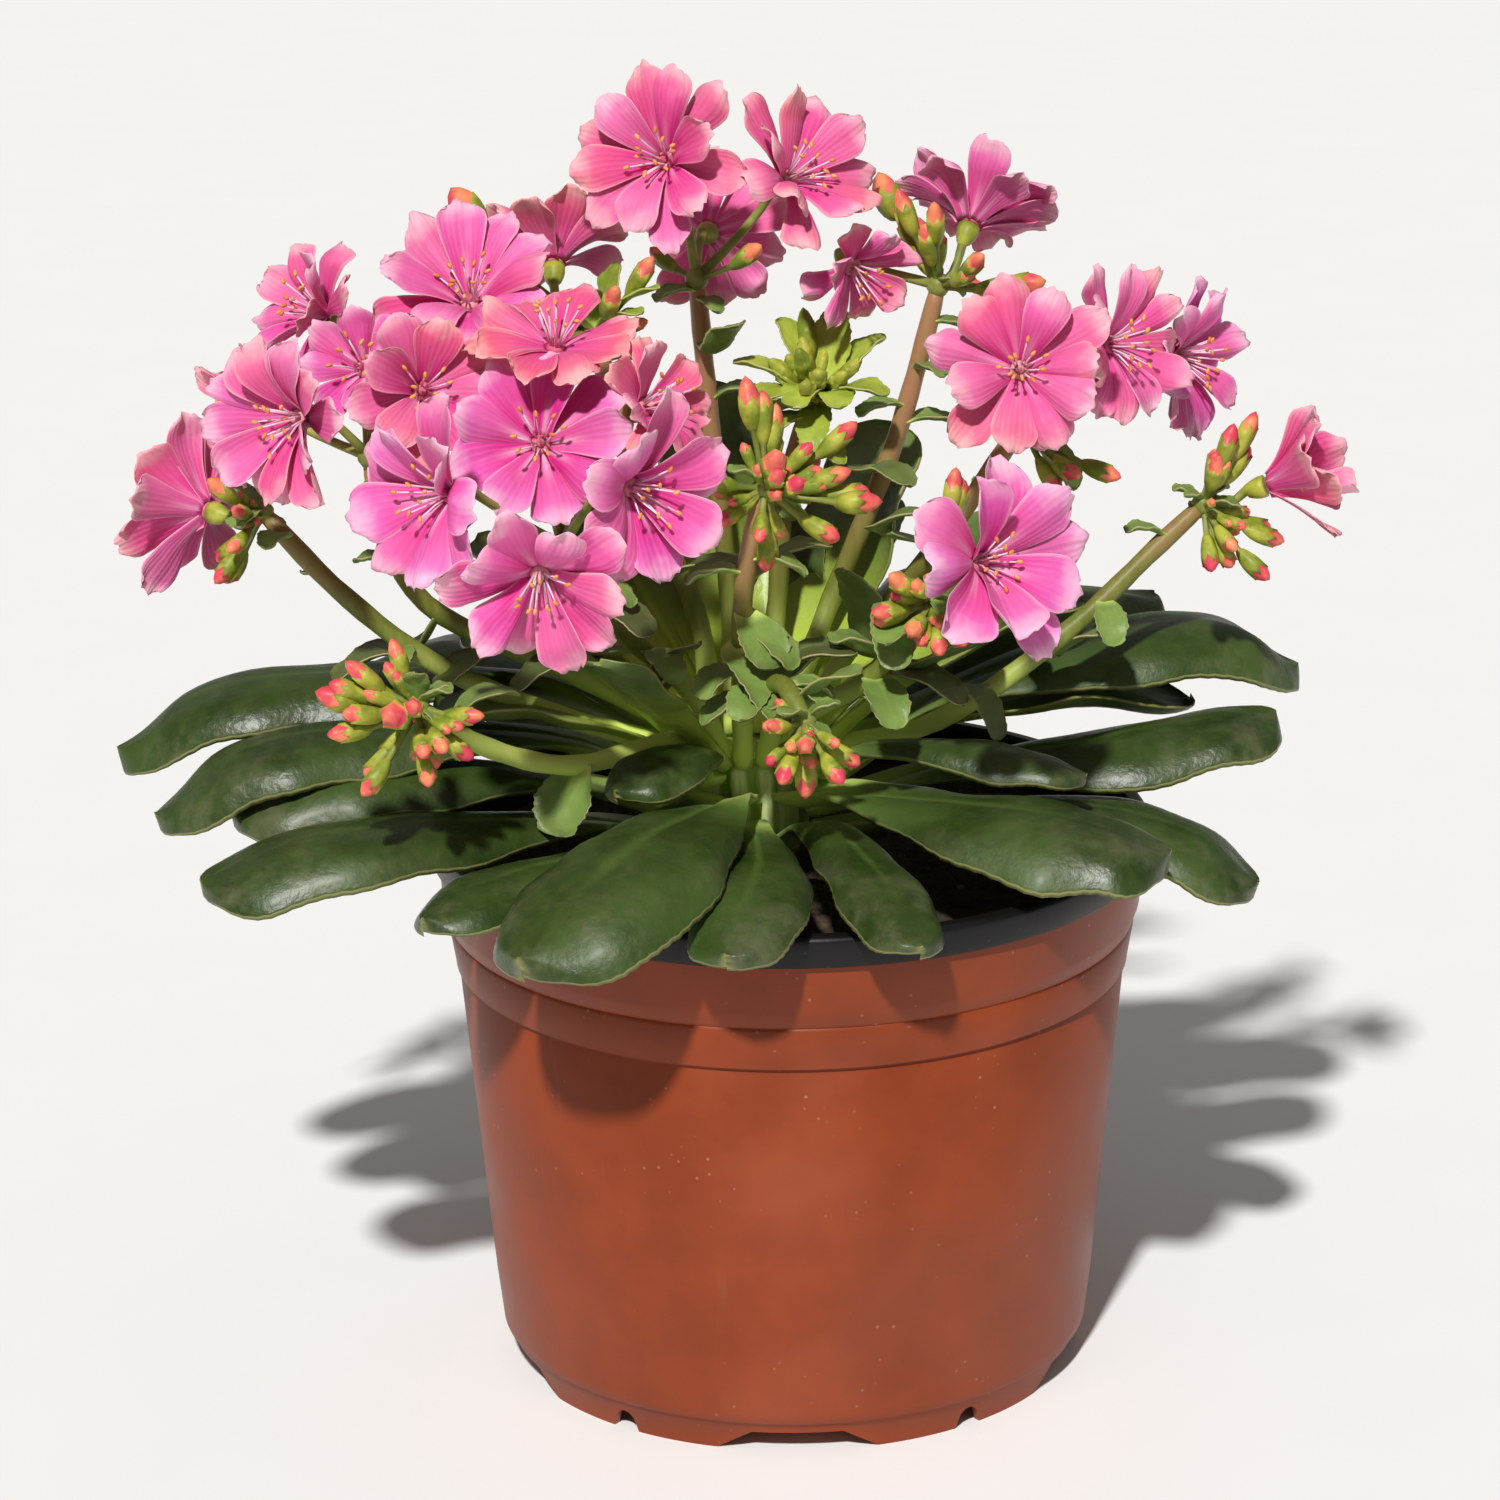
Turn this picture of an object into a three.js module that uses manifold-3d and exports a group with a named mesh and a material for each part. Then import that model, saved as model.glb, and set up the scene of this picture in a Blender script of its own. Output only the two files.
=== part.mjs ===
// Potted siskiyou lewisia: a two-colour nursery pot, soil, a rosette of fleshy leaves
// and a crown of leafy flower stems with pink blooms and buds.
// Millimetres, +Z up, the pot's front faces -Y.
import * as THREE from 'three';
import { mergeVertices } from 'three/addons/utils/BufferGeometryUtils.js';
import Module from 'manifold-3d';

const wasm = await Module();
wasm.setup();

// Driving dimensions of the pot
const POT_HEIGHT = 96;
const LIP_RADIUS = 61.6;
const LIP_DEPTH = 5.2;
const BAND_RADIUS = 60.3;
const BAND_BOTTOM = 82;
const RING_HEIGHT = 72;
const RING_RADIUS = 57.8;
const BASE_RADIUS = 51.3;
const FOOT_RADIUS = 49.2;
const FOOT_HEIGHT = 5;
const FLOOR_UNDERSIDE = 3.9;
const WALL = 1.2;
const NOTCH_COUNT = 10;
const NOTCH_TOP = 3.5;
const WIDE_NOTCH = { bottom: 13.8, top: 7.7 };
const SMALL_NOTCH = 2;
const DRAIN_HOLES = { count: 5, ring: 30, radius: 3.5 };
const POT_SEGMENTS = 30;

// Driving dimensions of the plant
const GAP = 0.3;
const SOIL_TOP = 87;
const SOIL_SEGMENTS = 30;
const CROWN = { x: -7, y: 0, radius: 10.2, top: 108, root: 8, rootBottom: 62 };
const LEAF_TIERS = [93.5, 97.5, 101.5, 105.5];
const LEAF_ROOT_RADIUS = CROWN.radius + GAP + 0.1;
const STEM_RING = 8;
const STEM_RADIUS = 1.7;
const STEM_STEPS = 5;
const HEAD_RADIUS = 2.3;
const PEDICEL_RADIUS = 0.7;
const PETAL_THICKNESS = 0.6;
const CUP_RADIUS = 1.6;
const CUP_DEPTH = 0.9;
const CALYX = { radius: 2.1, mouth: 1.5, depth: 3.8 };

// Colours and finishes read from the photo
const FINISH = {
  pot: new THREE.MeshStandardMaterial({ color: 0xa24a2c, roughness: 0.45, metalness: 0 }),
  soil: new THREE.MeshStandardMaterial({ color: 0x2b211a, roughness: 1, metalness: 0 }),
  crown: new THREE.MeshStandardMaterial({ color: 0x8fb04a, roughness: 0.6, metalness: 0 }),
  leaf: new THREE.MeshStandardMaterial({ color: 0x2f5230, roughness: 0.35, metalness: 0 }),
  stem: new THREE.MeshStandardMaterial({ color: 0x7e9a3c, roughness: 0.6, metalness: 0 }),
  bloom: new THREE.MeshStandardMaterial({ color: 0xe76fae, roughness: 0.6, metalness: 0 }),
};

const radians = THREE.MathUtils.degToRad;
const at = (point) => new THREE.Vector3(...point);

// Closed geometry from points and triangles, turned so that its faces point out
function closedGeometry(points, triangles) {
  const volume = triangles.reduce((sum, [a, b, c]) => {
    const cross = new THREE.Vector3().crossVectors(points[b], points[c]);
    return sum + points[a].dot(cross);
  }, 0);
  const index = triangles.flatMap(([a, b, c]) => (volume < 0 ? [a, c, b] : [a, b, c]));
  const geometry = new THREE.BufferGeometry().setFromPoints(points);
  geometry.setIndex(index);
  return geometry;
}

// Solid of a closed mesh, for joining and cutting
function solid(geometry) {
  const bare = geometry.clone();
  bare.deleteAttribute('normal');
  bare.deleteAttribute('uv');
  const merged = mergeVertices(bare, 1e-4);
  const vertProperties = new Float32Array(merged.attributes.position.array);
  const index = Array.from(merged.index.array);
  const kept = [];
  for (let i = 0; i < index.length; i += 3) {
    const [a, b, c] = index.slice(i, i + 3);
    if (a !== b && b !== c && c !== a) kept.push(a, b, c);
  }
  const triVerts = new Uint32Array(kept);
  return new wasm.Manifold(new wasm.Mesh({ numProp: 3, vertProperties, triVerts }));
}

// Geometry of a solid's largest body, without scraps and sealed hollows
function bodyGeometry(shape) {
  const bodies = shape.decompose();
  const largest = bodies.reduce((best, body) => (body.volume() > best.volume() ? body : best));
  const mesh = largest.getMesh();
  const geometry = new THREE.BufferGeometry();
  geometry.setAttribute('position', new THREE.BufferAttribute(new Float32Array(mesh.vertProperties), 3));
  geometry.setIndex(Array.from(mesh.triVerts));
  return geometry;
}

function fuse(geometries) {
  return bodyGeometry(geometries.map(solid).reduce((whole, part) => whole.add(part)));
}

// Body of revolution about Z from (radius, height) points that start and end on the axis
function turned(profile, segments) {
  const lathe = new THREE.LatheGeometry(profile.map(([r, z]) => new THREE.Vector2(r, z)), segments);
  return lathe.rotateX(Math.PI / 2);
}

// Tube through the given points; a zero radius draws that end to a point
function taperedTube(points, radii, sides, firstDirection) {
  const rings = [];
  const vertices = [];
  let side = null;
  points.forEach((point, i) => {
    const ahead = points[Math.min(i + 1, points.length - 1)];
    const behind = points[Math.max(i - 1, 0)];
    const direction = ahead.clone().sub(behind).normalize();
    if (i === 0 && firstDirection) direction.copy(firstDirection);
    const helper = Math.abs(direction.z) < 0.8 ? new THREE.Vector3(0, 0, 1) : new THREE.Vector3(1, 0, 0);
    side = (side ?? helper).clone().addScaledVector(direction, -(side ?? helper).dot(direction)).normalize();
    const across = new THREE.Vector3().crossVectors(direction, side);
    const count = radii[i] > 0 ? sides : 1;
    rings.push(Array.from({ length: count }, (_, k) => {
      const angle = (2 * Math.PI * k) / sides;
      vertices.push(point.clone()
        .addScaledVector(side, radii[i] * Math.cos(angle))
        .addScaledVector(across, radii[i] * Math.sin(angle)));
      return vertices.length - 1;
    }));
  });
  const triangles = [];
  for (let i = 0; i + 1 < rings.length; i += 1) {
    for (let k = 0; k < sides; k += 1) {
      const next = (k + 1) % sides;
      const [low, high] = [rings[i], rings[i + 1]];
      if (low.length > 1) triangles.push([low[k], low[next], high[next % high.length]]);
      if (high.length > 1) triangles.push([low[k % low.length], high[next], high[k]]);
    }
  }
  const first = rings[0];
  const last = rings[rings.length - 1];
  for (let k = 1; k + 1 < first.length; k += 1) triangles.push([first[0], first[k + 1], first[k]]);
  for (let k = 1; k + 1 < last.length; k += 1) triangles.push([last[0], last[k], last[k + 1]]);
  return closedGeometry(vertices, triangles);
}

// Closed sheet between two like faces, joined around their rim
function closedSheet(upper, lower, faces, rim) {
  const shift = upper.length;
  const triangles = [...faces, ...faces.map(([a, b, c]) => [a + shift, c + shift, b + shift])];
  rim.forEach((from, i) => {
    const to = rim[(i + 1) % rim.length];
    triangles.push([to, from, from + shift], [to, from + shift, to + shift]);
  });
  return closedGeometry([...upper, ...lower], triangles);
}

// Fleshy blade along a curve: a grid of rows along it and points across it
const BLADE_WIDTHS = [[0, 0.32], [0.24, 0.38], [0.44, 0.64], [0.6, 0.9], [0.75, 1], [0.87, 0.92],
  [0.95, 0.68], [1, 0.3]];
const ACROSS = [-1, -0.42, 0.42, 1];

function bladeGeometry({ curve, width, roll = 0, camber = 0.18, wave = 0.8, phase = 0, thickness = 2.4 }) {
  const upper = [];
  const lower = [];
  const up = new THREE.Vector3(0, 0, 1);
  BLADE_WIDTHS.forEach(([t, share], row) => {
    const centre = curve.getPointAt(t);
    const forward = curve.getTangentAt(t);
    const across = new THREE.Vector3().crossVectors(forward, up).normalize();
    across.applyAxisAngle(forward, radians(roll));
    const normal = new THREE.Vector3().crossVectors(across, forward);
    const channel = THREE.MathUtils.lerp(-0.12, camber, THREE.MathUtils.smoothstep(t, 0.1, 0.6));
    ACROSS.forEach((s) => {
      const half = 0.5 * width * share;
      const ripple = Math.abs(s) === 1 ? wave * t * Math.sin(2.1 * row + phase + 1.3 * s) : 0;
      const lift = ripple - channel * s * s * width * share;
      const point = centre.clone().addScaledVector(across, s * half).addScaledVector(normal, lift);
      const skin = 0.5 * (Math.abs(s) === 1 ? 0.35 * thickness : thickness) * (t > 0.9 ? 0.6 : 1);
      upper.push(point.clone().addScaledVector(normal, skin));
      lower.push(point.clone().addScaledVector(normal, -skin));
    });
  });
  const columns = ACROSS.length;
  const rows = BLADE_WIDTHS.length;
  const faces = [];
  for (let row = 0; row + 1 < rows; row += 1) {
    for (let column = 0; column + 1 < columns; column += 1) {
      const a = row * columns + column;
      faces.push([a, a + 1, a + columns + 1], [a, a + columns + 1, a + columns]);
    }
  }
  const rim = [];
  for (let column = 0; column < columns - 1; column += 1) rim.push(column);
  for (let row = 0; row < rows - 1; row += 1) rim.push(row * columns + columns - 1);
  for (let column = columns - 1; column > 0; column -= 1) rim.push((rows - 1) * columns + column);
  for (let row = rows - 1; row > 0; row -= 1) rim.push(row * columns);
  return closedSheet(upper, lower, faces, rim);
}

// Rosette leaves: root azimuth and tier on the crown, then the points that the midrib passes
const LEAVES = [
  { name: 'leaf_01', azimuth: 172, tier: 3, width: 26, through: [[-38, 4, 117], [-84, 5, 120], [-116, 2, 113.5]] },
  { name: 'leaf_02', azimuth: 184, tier: 2, width: 26, through: [[-38, -5, 111], [-80, -12, 115], [-108, -17, 107]] },
  { name: 'leaf_03', azimuth: 196, tier: 1, width: 24, through: [[-38, -9, 105.5], [-70, -15, 110], [-94, -20, 106]] },
  { name: 'leaf_04', azimuth: 208, tier: 0, width: 26, through: [[-38, -21, 102], [-70, -37.5, 106.5], [-97, -44, 102]] },
  { name: 'leaf_05', azimuth: 250, tier: 0, width: 18, through: [[-28, -30, 99.5], [-47, -46, 101], [-60, -57, 98.8]] },
  { name: 'leaf_06', azimuth: 252, tier: 2, width: 32, through: [[-14, -32, 107.5], [-25, -57, 110], [-44, -78, 100]] },
  { name: 'leaf_07', azimuth: 268, tier: 1, width: 19, through: [[-6, -32, 102], [-6, -55, 104], [-11, -76, 100]] },
  { name: 'leaf_08', azimuth: 287, tier: 0, width: 15, through: [[4, -30, 104], [12, -52, 105], [20, -73, 99]] },
  { name: 'leaf_09', azimuth: 315, tier: 2, width: 31, through: [[14, -22, 106], [38, -38, 108.5], [62, -43, 105]] },
  { name: 'leaf_10', azimuth: 340, tier: 0, width: 24, through: [[24, -13, 100.5], [56, -18, 101.5], [79, -24, 94]] },
  { name: 'leaf_11', azimuth: 352, tier: 1, width: 25, through: [[26, -4, 105], [56, -3, 110], [83, 2, 114]] },
  { name: 'leaf_12', azimuth: 8, tier: 2, width: 29, through: [[26, 8, 114], [62, 18, 123.5], [90, 26, 120]] },
  { name: 'leaf_13', azimuth: 38, tier: 1, width: 24, through: [[18, 22, 110], [44, 40, 120], [66, 52, 121]] },
  { name: 'leaf_14', azimuth: 56, tier: 2, width: 24, through: [[8, 26, 113], [26, 54, 122], [36, 78, 116]] },
  { name: 'leaf_15', azimuth: 86, tier: 0, width: 26, through: [[-5, 28, 103], [-2, 60, 108], [4, 86, 102]] },
  { name: 'leaf_16', azimuth: 114, tier: 1, width: 25, through: [[-18, 26, 108], [-34, 56, 114], [-44, 80, 106]] },
  { name: 'leaf_17', azimuth: 138, tier: 2, width: 25, through: [[-28, 18, 111.5], [-58, 40, 115], [-78, 56, 106]] },
  { name: 'leaf_18', azimuth: 236, tier: 3, width: 15, through: [[-15, -18, 113], [-21, -29, 116], [-29, -37, 113.5]] },
  { name: 'leaf_19', azimuth: 325, tier: 3, width: 13, through: [[12, -14, 112], [30, -23, 115], [49, -27, 112]] },
];

function leafGeometry({ azimuth, tier, through, ...blade }) {
  const angle = radians(azimuth);
  const root = new THREE.Vector3(
    CROWN.x + LEAF_ROOT_RADIUS * Math.cos(angle),
    CROWN.y + LEAF_ROOT_RADIUS * Math.sin(angle),
    LEAF_TIERS[tier],
  );
  const shoulder = root.clone().add(new THREE.Vector3(5 * Math.cos(angle), 5 * Math.sin(angle), 1.5));
  const curve = new THREE.CatmullRomCurve3([root, shoulder, ...through.map(at)], false, 'centripetal');
  return bladeGeometry({ curve, phase: azimuth, ...blade });
}

// Inner leaves stand up from the crown and are one piece with it
const INNER_LEAVES = [
  { width: 23, through: [[-10, 8, 102.5], [-13, 13.5, 109], [-25, 26, 127], [-36, 38, 146]] },
  { width: 19, through: [[-7.5, 8, 103], [-8, 13, 110], [-11, 27, 130], [-16, 36, 164]] },
  { width: 20, through: [[-3, 7, 103], [0, 11, 110], [8, 27, 128], [19, 36, 156]] },
  { width: 22, through: [[1, 4, 103], [5, 6.5, 110], [22, 18, 124], [42, 30, 142]] },
];

function crownGeometry() {
  const { x, y, radius, top, root, rootBottom } = CROWN;
  const profile = [[0, rootBottom], [2.5, rootBottom + 4], [root, SOIL_TOP - 6], [root, 90.5],
    [radius, 92], [radius, top - 1.5], [radius - 1.5, top], [0, top]];
  const body = turned(profile, 14).translate(x, y, 0);
  const leaves = INNER_LEAVES.map(({ through, width }) => bladeGeometry({
    curve: new THREE.CatmullRomCurve3(through.map(at), false, 'centripetal'),
    width,
    camber: -0.08,
    phase: width,
  }));
  return fuse([body, ...leaves]);
}

// Pot wall and floor, with notches in the foot and drain holes in the floor
function potGeometry() {
  const lipBottom = POT_HEIGHT - LIP_DEPTH;
  const profile = [
    [0, FLOOR_UNDERSIDE], [FOOT_RADIUS - WALL - 0.6, FLOOR_UNDERSIDE], [FOOT_RADIUS - WALL, 0],
    [FOOT_RADIUS, 0], [FOOT_RADIUS + 0.7, FOOT_HEIGHT], [BASE_RADIUS - 0.6, FOOT_HEIGHT + 0.5],
    [BASE_RADIUS, FOOT_HEIGHT + 2.5], [BASE_RADIUS + 0.9, FOOT_HEIGHT + 10],
    [RING_RADIUS - 0.4, RING_HEIGHT - 0.4], [RING_RADIUS, RING_HEIGHT],
    [RING_RADIUS + 1.1, BAND_BOTTOM - 3], [BAND_RADIUS - 0.6, BAND_BOTTOM],
    [BAND_RADIUS, lipBottom], [LIP_RADIUS, lipBottom], [LIP_RADIUS, POT_HEIGHT - 0.8],
    [LIP_RADIUS - 0.7, POT_HEIGHT], [BAND_RADIUS - 0.9, POT_HEIGHT],
    [BAND_RADIUS - WALL, POT_HEIGHT - 0.8], [BAND_RADIUS - 0.6 - WALL, BAND_BOTTOM + 0.4],
    [RING_RADIUS + 0.5 - WALL, BAND_BOTTOM - 2.6], [BASE_RADIUS + 0.3 - WALL, FOOT_HEIGHT + 4.5],
    [BASE_RADIUS - 1 - WALL, FLOOR_UNDERSIDE + WALL], [0, FLOOR_UNDERSIDE + WALL],
  ];
  let pot = solid(turned(profile, POT_SEGMENTS));
  const wide = new THREE.Shape([
    new THREE.Vector2(-WIDE_NOTCH.bottom - 4, -1), new THREE.Vector2(WIDE_NOTCH.bottom + 4, -1),
    new THREE.Vector2(WIDE_NOTCH.top, NOTCH_TOP), new THREE.Vector2(-WIDE_NOTCH.top, NOTCH_TOP),
  ]);
  const small = new THREE.Shape();
  small.moveTo(-SMALL_NOTCH - 0.6, -1).lineTo(SMALL_NOTCH + 0.6, -1);
  small.lineTo(SMALL_NOTCH, NOTCH_TOP - SMALL_NOTCH);
  small.absarc(0, NOTCH_TOP - SMALL_NOTCH, SMALL_NOTCH, 0, Math.PI, false);
  for (let i = 0; i < NOTCH_COUNT; i += 1) {
    const notch = new THREE.ExtrudeGeometry(i % 2 ? small : wide, { depth: 12, bevelEnabled: false, curveSegments: 3 });
    notch.rotateX(Math.PI / 2).translate(0, -FOOT_RADIUS + 7, 0).rotateZ((2 * Math.PI * i) / NOTCH_COUNT);
    pot = pot.subtract(solid(notch));
  }
  const drain = new THREE.Shape().absarc(0, 0, DRAIN_HOLES.radius, 0, 2 * Math.PI, false);
  for (let i = 0; i < DRAIN_HOLES.count; i += 1) {
    const angle = (2 * Math.PI * i) / DRAIN_HOLES.count;
    const hole = new THREE.ExtrudeGeometry(drain, { depth: 4, bevelEnabled: false, curveSegments: 4 });
    hole.translate(DRAIN_HOLES.ring * Math.cos(angle), DRAIN_HOLES.ring * Math.sin(angle), FLOOR_UNDERSIDE - 1);
    pot = pot.subtract(solid(hole));
  }
  return bodyGeometry(pot);
}

// Soil fills the pot; its top is uneven and has a plain hole for the root
function soilGeometry() {
  const hole = CROWN.root + GAP;
  const wall = (height) => {
    const share = (height - FOOT_HEIGHT - 4.5) / (BAND_BOTTOM - 2.6 - FOOT_HEIGHT - 4.5);
    return THREE.MathUtils.lerp(BASE_RADIUS + 0.3, RING_RADIUS + 0.5, share) - WALL - GAP - 0.1;
  };
  const bottom = FLOOR_UNDERSIDE + WALL + GAP;
  const profile = [[0, bottom], [BASE_RADIUS - 1.6 - WALL, bottom], [wall(FOOT_HEIGHT + 4.8), FOOT_HEIGHT + 4.8],
    [wall(BAND_BOTTOM - 3), BAND_BOTTOM - 3], [BAND_RADIUS - 1.1 - WALL, BAND_BOTTOM + 0.6],
    [BAND_RADIUS - 1 - WALL, SOIL_TOP], [40, SOIL_TOP],
    [hole + 10, SOIL_TOP], [hole, SOIL_TOP - 1], [hole, CROWN.rootBottom - 1], [0, CROWN.rootBottom - 1]];
  const body = turned(profile, SOIL_SEGMENTS);
  const position = body.attributes.position;
  for (let i = 0; i < position.count; i += 1) {
    const [x, y, z] = [position.getX(i), position.getY(i), position.getZ(i)];
    const radius = Math.hypot(x, y);
    const inside = THREE.MathUtils.smoothstep(60 - radius, 0, 14);
    if (z > SOIL_TOP - 2 && radius > hole + 1) {
      position.setZ(i, z + 1.6 * inside * Math.sin(0.31 * x + 1.7) * Math.cos(0.27 * y - 0.6));
    }
    const centred = THREE.MathUtils.smoothstep(40 - radius, 0, 20);
    position.setX(i, x + CROWN.x * centred);
    position.setY(i, y + CROWN.y * centred);
  }
  return bodyGeometry(solid(body));
}

// Blooms: cup centre, the way each faces (degrees to the viewer's right and up), petals and size
const BLOOMS = {
  bloom_01: { centre: [-79.5, -24, 173.2], facing: [-42, 0], petals: 8, reach: 15 },
  bloom_02: { centre: [-54.3, -52, 168], facing: [-45, 5], petals: 8, reach: 15 },
  bloom_03: { centre: [-40, -33, 170.8], facing: [0, 30], petals: 8, reach: 11.5, flare: [34, 4] },
  bloom_04: { centre: [-25, -52, 168.5], facing: [42, -5], petals: 8, reach: 15 },
  bloom_05: { centre: [-39.5, -60, 156.7], facing: [0, -20], petals: 8, reach: 15 },
  bloom_06: { centre: [-37.5, -24.5, 184.8], facing: [0, 72], petals: 8, reach: 13, flare: [28, -5] },
  bloom_07: { centre: [-69.5, -11.5, 178.3], facing: [-10, 35], petals: 8, reach: 9.3 },
  bloom_08: { centre: [-52.5, -1, 187], facing: [-10, 55], petals: 10, reach: 15.5 },
  bloom_09: { centre: [-59.5, -22, 177], facing: [10, 15], petals: 8, reach: 11.5 },
  bloom_10: { centre: [-78, 8, 183], facing: [-60, 30], petals: 8, reach: 12 },
  bloom_11: { centre: [-88, -6, 168.7], facing: [-65, 5], petals: 8, reach: 11 },
  bloom_12: { centre: [-39, 16, 190], facing: [180, 45], petals: 8, reach: 13 },
  bloom_13: { centre: [-23, -34, 177], facing: [60, 25], petals: 8, reach: 10.5 },
  bloom_14: { centre: [-20, 10, 208], facing: [-20, 20], petals: 10, reach: 15 },
  bloom_15: { centre: [1, 14, 204], facing: [50, 35], petals: 8, reach: 14 },
  bloom_16: { centre: [-12.7, 31, 191], facing: [165, -15], petals: 8, reach: 13 },
  bloom_17: { centre: [11.5, 16.5, 188], facing: [30, -20], petals: 8, reach: 9.3 },
  bloom_18: { centre: [32, 28, 193.4], facing: [150, 45], petals: 8, reach: 14 },
  bloom_19: { centre: [37.8, -20, 179], facing: [0, 20], petals: 10, reach: 14.5 },
  bloom_20: { centre: [53.7, -3, 179], facing: [40, 12], petals: 8, reach: 13 },
  bloom_21: { centre: [66.3, 15, 172.5], facing: [52, 0], petals: 8, reach: 13 },
  bloom_22: { centre: [82, 6, 152.3], facing: [72, 20], petals: 8, reach: 14, flare: [65, 40] },
  bloom_23: { centre: [30.5, -45, 153.7], facing: [36, 16], petals: 10, reach: 16.5 },
  bloom_24: { centre: [-98, 1, 151], facing: [-125, 5], petals: 8, reach: 15 },
};

function facingDirection([right, up]) {
  const [azimuth, elevation] = [radians(right), radians(up)];
  const level = Math.cos(elevation);
  return new THREE.Vector3(Math.sin(azimuth) * level, -Math.cos(azimuth) * level, Math.sin(elevation));
}

// Petals grow from the sides of one cup in two whorls, one lying over the other,
// and stamens stand on its top; each petal has a notched tip
const PETAL_ROWS = [{ t: 0.45, share: 0.46 }, { t: 0.8, share: 1 }];
const PETAL_TIP = { lobe: 0.6, notch: 0.93 };
const PETAL_OVERLAP = 1.15;
const WHORL_TILT = 5;
const STAMENS = { length: 7, spread: 2.4 };

function bloomGeometry({ centre, facing, petals, reach, flare = [48, 6] }) {
  const points = [];
  const triangles = [];
  const add = (x, y, z) => points.push(new THREE.Vector3(x, y, z)) - 1;
  const ring = (height) => Array.from({ length: petals }, (_, i) => {
    const angle = (2 * Math.PI * (i - 0.5)) / petals;
    return add(CUP_RADIUS * Math.cos(angle), CUP_RADIUS * Math.sin(angle), height);
  });
  const top = ring(0);
  const bottom = ring(-CUP_DEPTH);
  for (let i = 0; i < petals; i += 1) {
    const angle = (2 * Math.PI * i) / petals;
    const tilt = (i % 2 ? -1 : 1) * WHORL_TILT;
    const [from, to] = flare.map((pitch) => radians(pitch + tilt));
    const along = (t) => {
      const pitch = THREE.MathUtils.lerp(from, to, t);
      const radius = CUP_RADIUS + (reach * (Math.sin(pitch) - Math.sin(from))) / (to - from);
      const height = -0.5 * CUP_DEPTH - (reach * (Math.cos(pitch) - Math.cos(from))) / (to - from);
      return { pitch, radius, height };
    };
    const width = (PETAL_OVERLAP * 2 * Math.PI * along(0.8).radius) / petals;
    const place = (t, side, skin) => {
      const { pitch, radius, height } = along(t);
      const r = radius - skin * Math.sin(pitch);
      const offset = side * 0.5 * width;
      return add(
        r * Math.cos(angle) - offset * Math.sin(angle),
        r * Math.sin(angle) + offset * Math.cos(angle),
        height + skin * Math.cos(pitch),
      );
    };
    const face = (root, skin) => {
      const rows = PETAL_ROWS.flatMap(({ t, share }) => [place(t, -share, skin), place(t, share, skin)]);
      const { lobe, notch } = PETAL_TIP;
      return [...root, ...rows, place(1, -lobe, skin), place(notch, 0, skin), place(1, lobe, skin)];
    };
    const next = (i + 1) % petals;
    const upper = face([top[i], top[next]], 0.5 * PETAL_THICKNESS);
    const lower = face([bottom[i], bottom[next]], -0.5 * PETAL_THICKNESS);
    const faces = [[0, 1, 3], [0, 3, 2], [2, 3, 5], [2, 5, 4], [4, 5, 7], [5, 8, 7], [4, 7, 6]];
    faces.forEach(([a, b, c]) => {
      triangles.push([upper[a], upper[b], upper[c]], [lower[a], lower[c], lower[b]]);
    });
    const rim = [1, 3, 5, 8, 7, 6, 4, 2, 0];
    for (let k = 0; k + 1 < rim.length; k += 1) {
      const [a, b] = [rim[k], rim[k + 1]];
      triangles.push([upper[b], upper[a], lower[a]], [upper[b], lower[a], lower[b]]);
    }
  }
  const pistil = add(0, 0, 0.2);
  for (let i = 0; i < petals; i += 1) {
    const next = (i + 1) % petals;
    if (i % 2) {
      triangles.push([top[next], top[i], pistil]);
    } else {
      const angle = (2 * Math.PI * i) / petals;
      const tip = add(STAMENS.spread * Math.cos(angle), STAMENS.spread * Math.sin(angle), STAMENS.length);
      triangles.push([top[next], top[i], tip], [top[i], pistil, tip], [pistil, top[next], tip]);
    }
    if (i > 0 && next > 0) triangles.push([bottom[0], bottom[i], bottom[next]]);
  }
  const geometry = closedGeometry(points, triangles);
  const turn = new THREE.Quaternion().setFromUnitVectors(new THREE.Vector3(0, 0, 1), facingDirection(facing));
  return geometry.applyQuaternion(turn).translate(...centre);
}

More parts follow.
